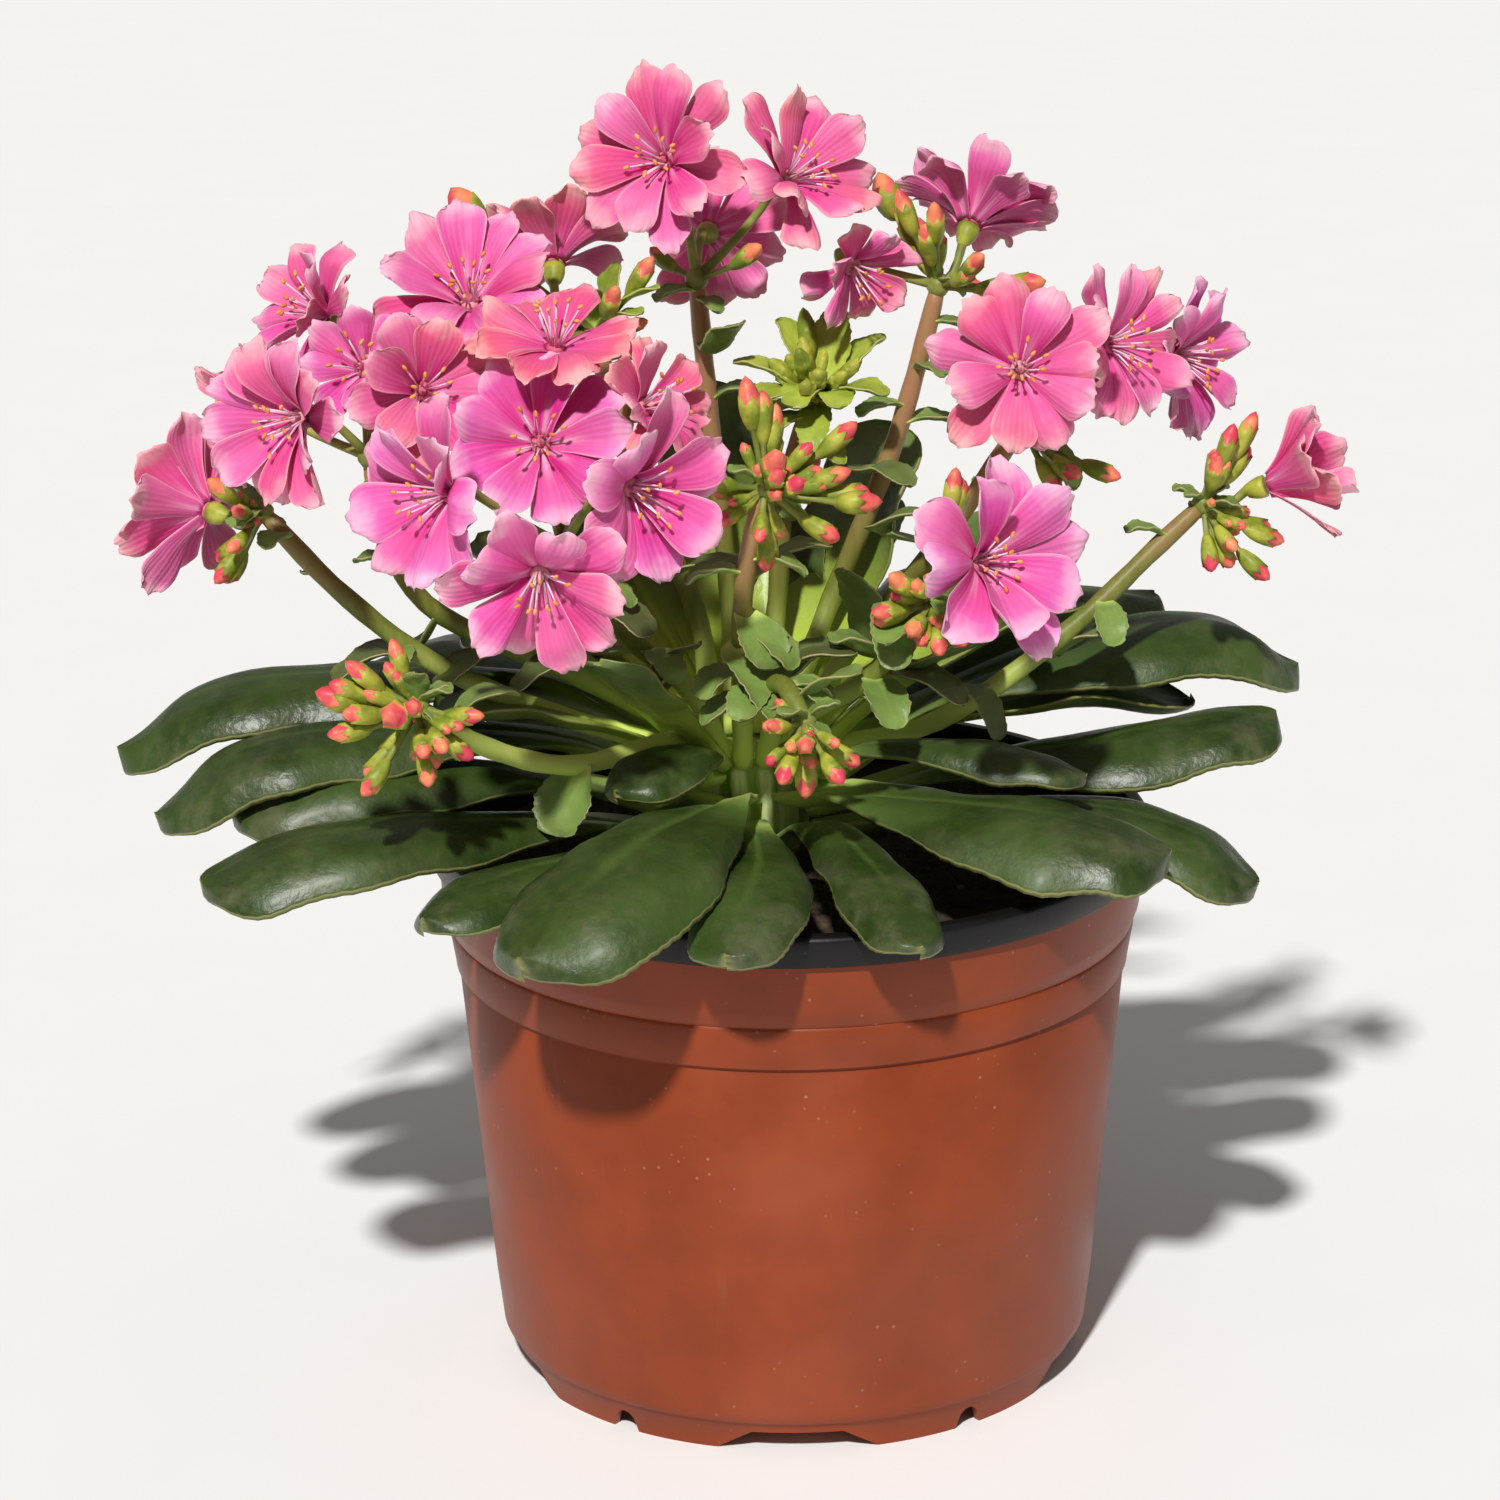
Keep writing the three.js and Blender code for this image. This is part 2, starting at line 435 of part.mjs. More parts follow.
// Flower stems: azimuth on the crown, points that the scape passes, its head, the blooms
// that it carries, the tips of its buds, and bracts as [share of the length, azimuth, pitch, length]
const STEMS = [
  {
    name: 'stem_01', azimuth: 183, through: [[-36, -8, 116], [-59, -8, 126], [-75, -8, 139]], head: [-88, -4, 152],
    blooms: ['bloom_24'],
    buds: [[-96, -12, 160], [-92, -13, 155], [-92, 7, 154], [-93, -14, 148], [-96, -9, 141], [-95, -2, 139]],
    bracts: [[0.93, 250, 40, 9], [0.8, 150, 50, 7], [0.62, 260, 20, 7]],
  },
  {
    name: 'stem_02', azimuth: 212, through: [[-20, -14, 114], [-36, -26, 114], [-50, -40, 122]], head: [-60, -50, 132],
    blooms: [],
    buds: [[-76, -54, 136], [-71, -54, 141], [-64, -48, 143], [-64, -63, 135], [-74, -58, 130], [-58, -58, 121],
      [-55, -61, 128], [-69, -56, 119], [-49, -55, 132], [-51, -53, 124]],
    bracts: [[0.5, 270, -20, 10], [0.72, 200, 30, 7]],
  },
  {
    name: 'stem_03', azimuth: 197, ring: 0.45, through: [[-36, -2, 122], [-61, -5, 136], [-67, -10, 150]],
    head: [-69, -14, 164],
    blooms: ['bloom_01', 'bloom_07', 'bloom_09', 'bloom_10', 'bloom_11'],
    buds: [[-66, -24, 151], [-58, -26, 154]],
    bracts: [[0.95, 280, 10, 9], [0.75, 170, 40, 8]],
  },
  {
    name: 'stem_04', azimuth: 240, through: [[-16, -14, 122], [-29, -24, 138]], head: [-37, -27, 152],
    blooms: ['bloom_02', 'bloom_03', 'bloom_04', 'bloom_05', 'bloom_06', 'bloom_13'],
    buds: [],
    bracts: [[0.55, 300, 20, 11], [0.72, 200, 30, 10], [0.85, 330, 20, 9]],
  },
  {
    name: 'stem_05', azimuth: 150, through: [[-15, 6, 128], [-27, 6, 158]], head: [-32, 5, 180],
    blooms: ['bloom_08', 'bloom_12'],
    buds: [[-56, 14, 203], [-22, 0, 194], [-23, 1, 183], [-28, -4, 190]],
    bracts: [[0.93, 0, 30, 9], [0.8, 180, 40, 8]],
  },
  {
    name: 'stem_06', azimuth: 108, through: [[-10, 20, 128], [-13, 22, 160]], head: [-15, 18, 186],
    blooms: ['bloom_14', 'bloom_15', 'bloom_16'],
    buds: [[-4, 8, 194], [-23, 25, 190]],
    bracts: [[0.72, 0, 50, 9], [0.97, 200, 30, 8], [0.95, 300, 30, 7]],
  },
  {
    name: 'stem_07', azimuth: 50, through: [[7, 18, 128], [18, 20, 155], [23, 20, 172]], head: [26, 20, 184],
    blooms: ['bloom_17', 'bloom_18'],
    buds: [[16, 28, 202], [19, 19, 201], [25, 13, 200], [44, 14, 186], [33, 8, 192]],
    bracts: [[0.7, 10, 30, 11], [0.74, 200, 30, 9], [0.82, 300, 40, 9], [0.92, 0, 20, 8]],
  },
  {
    name: 'stem_08', azimuth: 17, through: [[10, 4, 124], [24, -2, 143], [32, -7, 156]], head: [39, -5, 166],
    blooms: ['bloom_19', 'bloom_20', 'bloom_21'],
    buds: [[55, -14, 159], [48, -17, 160], [45, -12, 156]],
    bracts: [[0.97, 330, 0, 14], [0.8, 60, 30, 9], [0.7, 240, 30, 10]],
  },
  {
    name: 'stem_09', azimuth: 317, through: [[3, -12, 118], [13, -24, 128]], head: [23, -32, 144],
    blooms: ['bloom_23'],
    buds: [[16, -42, 151], [13, -40, 144], [19, -45, 142], [24, -44, 138], [28, -45, 140], [27, -32, 166]],
    bracts: [[0.85, 250, 40, 12], [0.6, 290, 10, 13], [0.7, 200, 60, 11], [0.45, 340, 20, 10]],
  },
  {
    name: 'stem_10', azimuth: 347, through: [[24, -8, 115], [48, -5, 131], [62, 0, 143]], head: [70, 2, 150],
    blooms: ['bloom_22'],
    buds: [[72, -4, 160], [75, 2, 164], [79, 6, 165], [71, -5, 140], [75, -6, 144], [81, -3, 138], [84, 3, 143]],
    bracts: [[0.72, 280, 0, 10], [0.9, 200, 50, 8], [0.55, 100, 40, 9]],
  },
  {
    name: 'stem_11', azimuth: 263, through: [[-8, -16, 120], [-8, -29, 137], [-7, -35, 151]], head: [-4, -36, 164],
    blooms: [],
    buds: [[-7, -34, 182], [-17, -41, 168], [-2, -48, 173], [11, -33, 174], [10, -37, 167], [2, -47, 168],
      [15, -38, 162], [8, -42, 157], [-5, -44, 157], [-4, -37, 150], [-12, -43, 160], [-2, -32, 177]],
    bracts: [[0.42, 230, 20, 11], [0.58, 320, 10, 12], [0.76, 190, 30, 10], [0.8, 0, 20, 10]],
  },
  {
    name: 'stem_12', azimuth: 290, through: [[-3, -16, 118], [-4, -31, 128], [-1, -41, 132]], head: [2, -47, 128],
    blooms: [],
    buds: [[-4, -55, 130], [2, -61, 128], [-2, -58, 121], [2, -51, 116], [8, -58, 121], [11, -49, 121]],
    bracts: [[0.5, 200, 20, 12], [0.62, 250, 30, 13], [0.72, 320, 30, 12], [0.85, 10, 20, 8]],
  },
  {
    name: 'stem_13', azimuth: 76, through: [[-2, 17, 128], [0, 18, 150]], head: [5, 18, 166],
    blooms: [],
    buds: [[-3, 14, 173], [2, 9, 176], [10, 8, 172], [13, 18, 172], [3, 4, 171], [3, 22, 180]],
    bracts: [[0.95, 200, 30, 10], [0.85, 320, 20, 10], [0.75, 240, 40, 9]],
  },
];
const BUD = { length: 7.5, fullSizeFrom: 13, rings: [[0, 0.65], [0.5, 1.75], [1, 0]] };
const BRACT_WIDTH = 0.55;
const BRACT_THICKNESS = 0.8;

function bractGeometry(base, azimuth, pitch, length) {
  const angle = radians(azimuth);
  const across = new THREE.Vector3(-Math.sin(angle), Math.cos(angle), 0);
  const width = BRACT_WIDTH * length;
  const upper = [];
  const lower = [];
  [[0, 0.2], [0.55, 0.5], [1, 0]].forEach(([t, share]) => {
    const slope = radians(pitch - 35 * t);
    const forward = new THREE.Vector3(Math.cos(angle) * Math.cos(slope), Math.sin(angle) * Math.cos(slope),
      Math.sin(slope));
    const normal = new THREE.Vector3().crossVectors(forward, across);
    const centre = base.clone().addScaledVector(forward, t * length);
    (share ? [-1, 1] : [0]).forEach((side) => {
      const point = centre.clone().addScaledVector(across, side * share * width);
      upper.push(point.clone().addScaledVector(normal, 0.5 * BRACT_THICKNESS));
      lower.push(point.clone().addScaledVector(normal, -0.5 * BRACT_THICKNESS));
    });
  });
  return closedSheet(upper, lower, [[0, 1, 3], [0, 3, 2], [2, 3, 4]], [0, 1, 3, 4, 2]);
}

// Shoots are the centres and radii of their rings; those of a bud end in a point
function budShoot(head, tip) {
  const direction = tip.clone().sub(head).normalize();
  const scale = Math.min(1, head.distanceTo(tip) / BUD.fullSizeFrom);
  const centres = BUD.rings.map(([share]) => tip.clone().addScaledVector(direction, (share - 1) * scale * BUD.length));
  return { centres, radii: BUD.rings.map(([, radius]) => scale * radius) };
}

// A pedicel leaves the head, swings behind its bloom and ends in the calyx
function pedicelShoot(head, { centre, facing }) {
  const axis = facingDirection(facing);
  const mouth = at(centre).addScaledVector(axis, -CUP_DEPTH - GAP);
  const neck = mouth.clone().addScaledVector(axis, -CALYX.depth);
  const swing = neck.clone().addScaledVector(axis, -4).add(new THREE.Vector3(0, 0, -3));
  const middle = new THREE.QuadraticBezierCurve3(head, swing, neck).getPoint(0.5);
  const belly = mouth.clone().addScaledVector(axis, -0.5 * CALYX.depth);
  return {
    centres: [middle, neck, belly, mouth],
    radii: [PEDICEL_RADIUS, PEDICEL_RADIUS, CALYX.radius, CALYX.mouth],
  };
}

// Rounded head of four-sided cells, each shoot growing from the free cell that faces it best
function clusterGeometry(head, shoots) {
  const points = [];
  const triangles = [];
  const corners = new Map();
  const corner = (place) => {
    const key = place.join();
    if (!corners.has(key)) {
      corners.set(key, points.length);
      points.push(at(place).setLength(HEAD_RADIUS).add(head));
    }
    return corners.get(key);
  };
  const cells = [];
  for (let axis = 0; axis < 3; axis += 1) {
    for (const side of [-1, 1]) {
      for (const [u, v] of [[-1, -1], [-1, 0], [0, -1], [0, 0]]) {
        const cell = [[u, v], [u + 1, v], [u + 1, v + 1], [u, v + 1]].map(([a, b]) => {
          const place = [side, side, side];
          place[(axis + 1) % 3] = a;
          place[(axis + 2) % 3] = b;
          return corner(place);
        });
        cells.push(side > 0 ? cell : cell.reverse());
      }
    }
  }
  const middleOf = (ring) => ring.reduce((sum, k) => sum.add(points[k]), new THREE.Vector3()).divideScalar(4);
  shoots.forEach(({ centres, radii }) => {
    const aim = centres[0].clone().sub(head);
    const score = (cell) => middleOf(cell).sub(head).normalize().dot(aim);
    cells.sort((a, b) => score(b) - score(a));
    let ring = cells.shift();
    let from = middleOf(ring);
    let arms = ring.map((k) => points[k].clone().sub(from));
    centres.forEach((centre, i) => {
      const direction = (centres[i + 1] ?? centre).clone().sub(i ? centres[i - 1] : from).normalize();
      if (radii[i] === 0) {
        points.push(centre);
        ring.forEach((k, j) => triangles.push([k, ring[(j + 1) % 4], points.length - 1]));
        ring = null;
        return;
      }
      arms = arms.map((arm) => arm.clone().addScaledVector(direction, -arm.dot(direction)).setLength(radii[i]));
      const next = arms.map((arm) => points.push(centre.clone().add(arm)) - 1);
      next.forEach((k, j) => {
        const [j1, k1] = [ring[(j + 1) % 4], next[(j + 1) % 4]];
        triangles.push([ring[j], j1, k1], [ring[j], k1, k]);
      });
      ring = next;
      from = centre;
    });
    if (ring) triangles.push([ring[0], ring[1], ring[2]], [ring[0], ring[2], ring[3]]);
  });
  cells.forEach(([a, b, c, d]) => triangles.push([a, b, c], [a, c, d]));
  return closedGeometry(points, triangles);
}

function stemGeometry({ azimuth, ring = 1, through, head, blooms, buds, bracts }) {
  const angle = radians(azimuth);
  const foot = new THREE.Vector3(CROWN.x + ring * STEM_RING * Math.cos(angle),
    CROWN.y + ring * STEM_RING * Math.sin(angle), CROWN.top + GAP);
  const top = at(head);
  const curve = new THREE.CatmullRomCurve3([foot, ...through.map(at), top], false, 'centripetal');
  const points = curve.getSpacedPoints(STEM_STEPS);
  const radii = points.map((_, i) => STEM_RADIUS * (1 - 0.04 * i));
  const shoots = [...blooms.map((name) => pedicelShoot(top, BLOOMS[name])), ...buds.map((tip) => budShoot(top, at(tip)))];
  const parts = [taperedTube(points, radii, 5, new THREE.Vector3(0, 0, 1)), clusterGeometry(top, shoots)];
  bracts.forEach(([share, ...bract]) => parts.push(bractGeometry(curve.getPointAt(share), ...bract)));
  return fuse(parts);
}

// The whole plant in its pot, with the middle of its box over the origin
const plant = new THREE.Group();
const addPiece = (name, geometry, finish) => {
  const mesh = new THREE.Mesh(geometry, finish);
  mesh.name = name;
  plant.add(mesh);
};
addPiece('pot', potGeometry(), FINISH.pot);
addPiece('soil', soilGeometry(), FINISH.soil);
addPiece('crown', crownGeometry(), FINISH.crown);
LEAVES.forEach((leaf) => addPiece(leaf.name, leafGeometry(leaf), FINISH.leaf));
STEMS.forEach((stem) => addPiece(stem.name, stemGeometry(stem), FINISH.stem));
Object.entries(BLOOMS).forEach(([name, bloom]) => addPiece(name, bloomGeometry(bloom), FINISH.bloom));

const middle = new THREE.Box3().setFromObject(plant).getCenter(new THREE.Vector3());
plant.position.set(-middle.x, -middle.y, 0);
const object = new THREE.Group();
object.add(plant);

export default object;
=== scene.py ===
"""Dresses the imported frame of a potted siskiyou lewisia: pot, soil, crown, leaves, stems and blooms."""

import math
import random

import bmesh
import bpy
from mathutils import Matrix, Quaternion, Vector, noise


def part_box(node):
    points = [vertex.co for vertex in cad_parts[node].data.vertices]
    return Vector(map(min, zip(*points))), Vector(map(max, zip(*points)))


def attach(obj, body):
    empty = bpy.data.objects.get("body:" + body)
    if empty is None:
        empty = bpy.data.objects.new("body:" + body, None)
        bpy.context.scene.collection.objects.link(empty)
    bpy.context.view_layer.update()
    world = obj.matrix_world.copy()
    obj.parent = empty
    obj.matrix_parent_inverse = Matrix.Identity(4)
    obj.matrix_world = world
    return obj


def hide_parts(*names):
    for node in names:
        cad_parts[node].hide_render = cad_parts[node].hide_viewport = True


bl_info = {
    "name": "Potted lewisia",
    "version": (1, 0, 0),
    "blender": (4, 5, 0),
    "location": "3D View > Sidebar > Lewisia",
    "description": "Models and finishes a potted siskiyou lewisia over its packed frame",
    "category": "Object",
}

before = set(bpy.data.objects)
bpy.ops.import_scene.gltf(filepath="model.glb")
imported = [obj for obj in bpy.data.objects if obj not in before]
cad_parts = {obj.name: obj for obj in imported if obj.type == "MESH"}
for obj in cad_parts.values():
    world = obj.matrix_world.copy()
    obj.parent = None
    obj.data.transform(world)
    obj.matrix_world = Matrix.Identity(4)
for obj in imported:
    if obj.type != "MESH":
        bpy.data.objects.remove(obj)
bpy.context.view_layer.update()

# The tables below are in millimetres round the pot's own axis, which lies here in the frame
MM = 0.001
POT_LOW, POT_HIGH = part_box("pot")
POT_AXIS = Vector(((POT_LOW.x + POT_HIGH.x) / 2, (POT_LOW.y + POT_HIGH.y) / 2, 0))
UP = Vector((0, 0, 1))

# The camera stands where the photograph's stood, and the sun is high in front of the plant
CAMERA_TARGET, CAMERA_DISTANCE, CAMERA_RISE, CAMERA_ROLL = (-6.8, 0, 107.9), 900, 18, -0.6
SENSOR_WIDTH, LENS = 36, 126.6
CLIP_START, CLIP_END = 0.05, 20
SUN_AZIMUTH, SUN_RISE, SUN_WIDTH, SUN_COLOUR = -102, 47, 3, (1.0, 0.985, 0.96)
ROOM_COLOUR = (1.0, 0.98, 0.95, 1)
FLOOR_HALF = 4

CROWN = {"x": -7, "radius": 10.2, "top": 108, "root": 8, "root_bottom": 62}
GAP = 0.3

# How far leaf tips claw down, for the leaves that claw most and for the rest
CLAWED = {"leaf_01": 5.0, "leaf_02": 4.0, "leaf_12": 5.0, "leaf_10": 3.0, "leaf_17": 3.0, "leaf_07": 2.5}
LEAF_DROOP = 1.4
LEAF_TIERS = (93.5, 97.5, 101.5, 105.5)
LEAF_ROOT_RADIUS = 10.6
# Rosette leaves: root azimuth and tier on the crown, width, and what the midrib passes
LEAVES = {
    "leaf_01": (172, 3, 26, [(-38, 4, 117), (-84, 5, 120), (-116, 2, 113.5)]),
    "leaf_02": (184, 2, 26, [(-38, -5, 111), (-80, -12, 115), (-108, -17, 107)]),
    "leaf_03": (196, 1, 24, [(-38, -9, 105.5), (-70, -15, 110), (-94, -20, 106)]),
    "leaf_04": (208, 0, 26, [(-38, -21, 102), (-70, -37.5, 106.5), (-97, -44, 102)]),
    "leaf_05": (250, 0, 18, [(-28, -30, 99.5), (-47, -46, 101), (-60, -57, 98.8)]),
    "leaf_06": (252, 2, 32, [(-14, -32, 107.5), (-25, -57, 110), (-44, -78, 100)]),
    "leaf_07": (268, 1, 19, [(-6, -32, 102), (-6, -55, 104), (-11, -76, 100)]),
    "leaf_08": (287, 0, 15, [(4, -30, 104), (12, -52, 105), (20, -73, 99)]),
    "leaf_09": (315, 2, 31, [(14, -22, 106), (38, -38, 108.5), (62, -43, 105)]),
    "leaf_10": (340, 0, 24, [(24, -13, 100.5), (56, -18, 101.5), (79, -24, 94)]),
    "leaf_11": (352, 1, 25, [(26, -4, 105), (56, -3, 110), (83, 2, 114)]),
    "leaf_12": (8, 2, 29, [(26, 8, 114), (62, 18, 123.5), (90, 26, 120)]),
    "leaf_13": (38, 1, 24, [(18, 22, 110), (44, 40, 120), (66, 52, 121)]),
    "leaf_14": (56, 2, 24, [(8, 26, 113), (26, 54, 122), (36, 78, 116)]),
    "leaf_15": (86, 0, 26, [(-5, 28, 103), (-2, 60, 108), (4, 86, 102)]),
    "leaf_16": (114, 1, 25, [(-18, 26, 108), (-34, 56, 114), (-44, 80, 106)]),
    "leaf_17": (138, 2, 25, [(-28, 18, 111.5), (-58, 40, 115), (-78, 56, 106)]),
    "leaf_18": (236, 3, 15, [(-15, -18, 113), (-21, -29, 116), (-29, -37, 113.5)]),
    "leaf_19": (325, 3, 13, [(12, -14, 112), (30, -23, 115), (49, -27, 112)]),
}
# Upright leaves in the middle: width, and what the midrib passes
INNER_LEAVES = [
    (23, [(-10, 8, 102.5), (-13, 13.5, 109), (-25, 26, 127), (-36, 38, 146)]),
    (23, [(-7.5, 8, 103), (-8, 13, 110), (-11, 27, 130), (-16, 36, 164)]),
    (25, [(-3, 7, 103), (0, 11, 110), (8, 27, 128), (19, 36, 156)]),
    (22, [(1, 4, 103), (5, 6.5, 110), (22, 18, 124), (42, 30, 142)]),
]
# Smaller leaves that fill the heart between the stems, in the same way
HEART_LEAVES = [
    (17, [(-14, 4, 105), (-22, 9, 117), (-38, 17, 130), (-54, 25, 139)]),
    (19, [(-9, 9, 105), (-12, 18, 115), (-17, 36, 130), (-23, 50, 141)]),
    (20, [(-4, 9, 105), (0, 18, 115), (8, 37, 129), (16, 52, 139)]),
    (19, [(2, 6, 105), (11, 12, 115), (28, 25, 127), (47, 38, 134)]),
    (15, [(-15, -3, 105), (-24, -7, 117), (-38, -14, 130), (-50, -19, 139)]),
    (14, [(2, -3, 105), (11, -8, 116), (22, -15, 127), (33, -21, 135)]),
    (16, [(3, 1, 105), (15, 2, 116), (32, 6, 126), (50, 10, 132)]),
    (13, [(-11, -6, 106), (-17, -16, 116), (-25, -29, 127), (-31, -39, 136)]),
    (26, [(2, 3, 104), (22, 8, 110), (46, 16, 112), (70, 22, 109.5)]),
    (24, [(-15, -2, 105), (-30, -6, 114), (-46, -9, 119), (-60, -10, 119)]),
    (20, [(-14, 2, 105), (-26, 4, 116), (-40, 6, 124), (-56, 6, 127)]),
    (22, [(-7, 10, 104), (-6, 20, 113), (-4, 31, 127), (-3, 38, 141)]),
    (22, [(-15, 5, 103.5), (-30, 14, 106), (-46, 19, 105), (-60, 24, 101)]),
]

# Blooms: cup centre, facing (degrees to the right and up), petals, reach, flare and salmon share
OPEN = (48, 6)
BLOOMS = {
    "bloom_01": ((-79.5, -24, 173.2), (-42, 0), 12, 15, OPEN, 0.4),
    "bloom_02": ((-54.3, -52, 168), (-45, 5), 9, 15, OPEN, 0.12),
    "bloom_03": ((-40, -33, 170.8), (0, 30), 9, 13.8, (34, 4), 0),
    "bloom_04": ((-25, -52, 168.5), (42, -5), 9, 15, OPEN, 0.15),
    "bloom_05": ((-39.5, -60, 156.7), (0, -20), 10, 15, OPEN, 0.3),
    "bloom_06": ((-37.5, -24.5, 184.8), (0, 72), 10, 13, (28, -5), 0.85),
    "bloom_07": ((-69.5, -11.5, 178.3), (-10, 35), 8, 9.3, OPEN, 0),
    "bloom_08": ((-52.5, -1, 187), (-10, 55), 12, 15.5, OPEN, 0.3),
    "bloom_09": ((-59.5, -22, 177), (10, 15), 9, 12.5, OPEN, 0.65),
    "bloom_10": ((-78, 8, 183), (-60, 30), 10, 12, OPEN, 0.4),
    "bloom_11": ((-88, -6, 168.7), (-65, 5), 10, 11, OPEN, 0.65),
    "bloom_12": ((-39, 16, 190), (180, 45), 10, 13, OPEN, 0.7),
    "bloom_13": ((-23, -34, 177), (60, 25), 9, 10.5, OPEN, 0.75),
    "bloom_14": ((-20, 10, 208), (-20, 20), 12, 15, OPEN, 0.5),
    "bloom_15": ((1, 14, 204), (50, 35), 11, 14, OPEN, 0.7),
    "bloom_16": ((-12.7, 31, 191), (165, -15), 10, 13, OPEN, 0.5),
    "bloom_17": ((11.5, 16.5, 188), (30, -20), 8, 9.3, OPEN, 0.5),
    "bloom_18": ((32, 28, 193.4), (150, 45), 11, 14, OPEN, 0.3),
    "bloom_19": ((37.8, -20, 179), (0, 20), 11, 14.5, OPEN, 0.6),
    "bloom_20": ((53.7, -3, 179), (40, 12), 12, 13, OPEN, 0.55),
    "bloom_21": ((66.3, 15, 172.5), (52, 0), 12, 13, OPEN, 0.1),
    "bloom_22": ((82, 6, 152.3), (72, 20), 8, 14, (65, 40), 0.7),
    "bloom_23": ((30.5, -45, 153.7), (36, 16), 10, 16.5, OPEN, 0),
    "bloom_24": ((-98, 1, 151), (-125, 5), 10, 15, OPEN, 0.5),
}
CUP_RADIUS, CUP_DEPTH, CALYX_DEPTH = 1.6, 0.9, 3.8

# Stems: azimuth and ring on the crown, path, head, blooms, bud tips, and bracts as
# (share of the length, azimuth, pitch, length)
STEMS = {
    "stem_01": (183, 8, [(-36, -8, 116), (-59, -8, 126), (-75, -8, 139)], (-88, -4, 152), (24,),
                [(-96, -12, 160), (-92, -13, 155), (-92, 7, 154), (-93, -14, 148), (-96, -9, 141),
                 (-95, -2, 139)],
                [(0.93, 250, 40, 9), (0.8, 150, 50, 7), (0.62, 260, 20, 7)]),
    "stem_02": (212, 8, [(-20, -14, 114), (-36, -26, 114), (-50, -40, 122)], (-60, -50, 132), (),
                [(-76, -54, 136), (-71, -54, 141), (-64, -48, 143), (-64, -63, 135), (-74, -58, 130),
                 (-58, -58, 121), (-55, -61, 128), (-69, -56, 119), (-49, -55, 132), (-51, -53, 124)],
                [(0.72, 200, 30, 7)]),
    "stem_03": (197, 3.6, [(-36, -2, 122), (-61, -5, 136), (-67, -10, 150)], (-69, -14, 164),
                (1, 7, 9, 10, 11), [(-66, -24, 151), (-58, -26, 154)],
                [(0.95, 280, 10, 9), (0.75, 170, 40, 8)]),
    "stem_04": (240, 8, [(-16, -14, 122), (-29, -24, 138)], (-37, -27, 152), (2, 3, 4, 5, 6, 13), [],
                [(0.55, 300, 20, 11), (0.72, 200, 30, 10), (0.85, 330, 20, 9)]),
    "stem_05": (150, 8, [(-15, 6, 128), (-27, 6, 158)], (-32, 5, 180), (8, 12),
                [(-56, 14, 203), (-22, 0, 194), (-23, 1, 183), (-28, -4, 190)],
                [(0.93, 0, 30, 9), (0.8, 180, 40, 8)]),
    "stem_06": (108, 8, [(-10, 20, 128), (-13, 22, 160)], (-15, 18, 186), (14, 15, 16),
                [(-4, 8, 194), (-23, 25, 190)],
                [(0.72, 0, 50, 9), (0.97, 200, 30, 8), (0.95, 300, 30, 7)]),
    "stem_07": (50, 8, [(7, 18, 128), (18, 20, 155), (23, 20, 172)], (26, 20, 184), (17, 18),
                [(16, 28, 202), (19, 19, 201), (25, 13, 200), (44, 14, 186), (33, 8, 192)],
                [(0.7, 10, 30, 11), (0.74, 200, 30, 9), (0.82, 300, 40, 9), (0.92, 0, 20, 8)]),
    "stem_08": (17, 8, [(10, 4, 124), (24, -2, 143), (32, -7, 156)], (39, -5, 166), (19, 20, 21),
                [(55, -14, 159), (48, -17, 160), (45, -12, 156)],
                [(0.97, 330, 0, 14), (0.8, 60, 30, 9), (0.7, 240, 30, 10)]),
    "stem_09": (317, 8, [(3, -12, 118), (13, -24, 128)], (23, -32, 144), (23,),
                [(16, -42, 151), (13, -40, 144), (19, -45, 142), (24, -44, 138), (28, -45, 140),
                 (27, -32, 166)],
                [(0.85, 250, 40, 12), (0.6, 290, 10, 13), (0.7, 200, 60, 11), (0.45, 340, 20, 10)]),
    "stem_10": (347, 8, [(24, -8, 115), (48, -5, 131), (62, 0, 143)], (70, 2, 150), (22,),
                [(72, -4, 160), (75, 2, 164), (79, 6, 165), (71, -5, 140), (75, -6, 144),
                 (81, -3, 138), (84, 3, 143)],
                [(0.72, 280, 0, 10), (0.9, 200, 50, 8), (0.55, 100, 40, 9)]),
    "stem_11": (263, 8, [(-8, -16, 120), (-8, -29, 137), (-7, -35, 151)], (-4, -36, 164), (),
                [(-7, -34, 182), (-17, -41, 168), (-2, -48, 173), (11, -33, 174), (10, -37, 167),
                 (2, -47, 168), (15, -38, 162), (8, -42, 157), (-5, -44, 157), (-4, -37, 150),
                 (-12, -43, 160), (-2, -32, 177)],
                [(0.42, 230, 20, 11), (0.58, 320, 10, 12), (0.76, 190, 30, 10), (0.8, 0, 20, 10)]),
    "stem_12": (290, 8, [(-3, -16, 118), (-4, -31, 128), (-1, -41, 132)], (2, -47, 128), (),
                [(-4, -55, 130), (2, -61, 128), (-2, -58, 121), (2, -51, 116), (8, -58, 121),
                 (11, -49, 121)],
                [(0.5, 200, 20, 12), (0.62, 250, 30, 13), (0.72, 320, 30, 12), (0.85, 10, 20, 8)]),
    "stem_13": (76, 8, [(-2, 17, 128), (0, 18, 150)], (5, 18, 166), (),
                [(-3, 14, 173), (2, 9, 176), (10, 8, 172), (13, 18, 172), (3, 4, 171), (3, 22, 180)],
                [(0.95, 200, 30, 10), (0.85, 320, 20, 10), (0.75, 240, 40, 9)]),
}

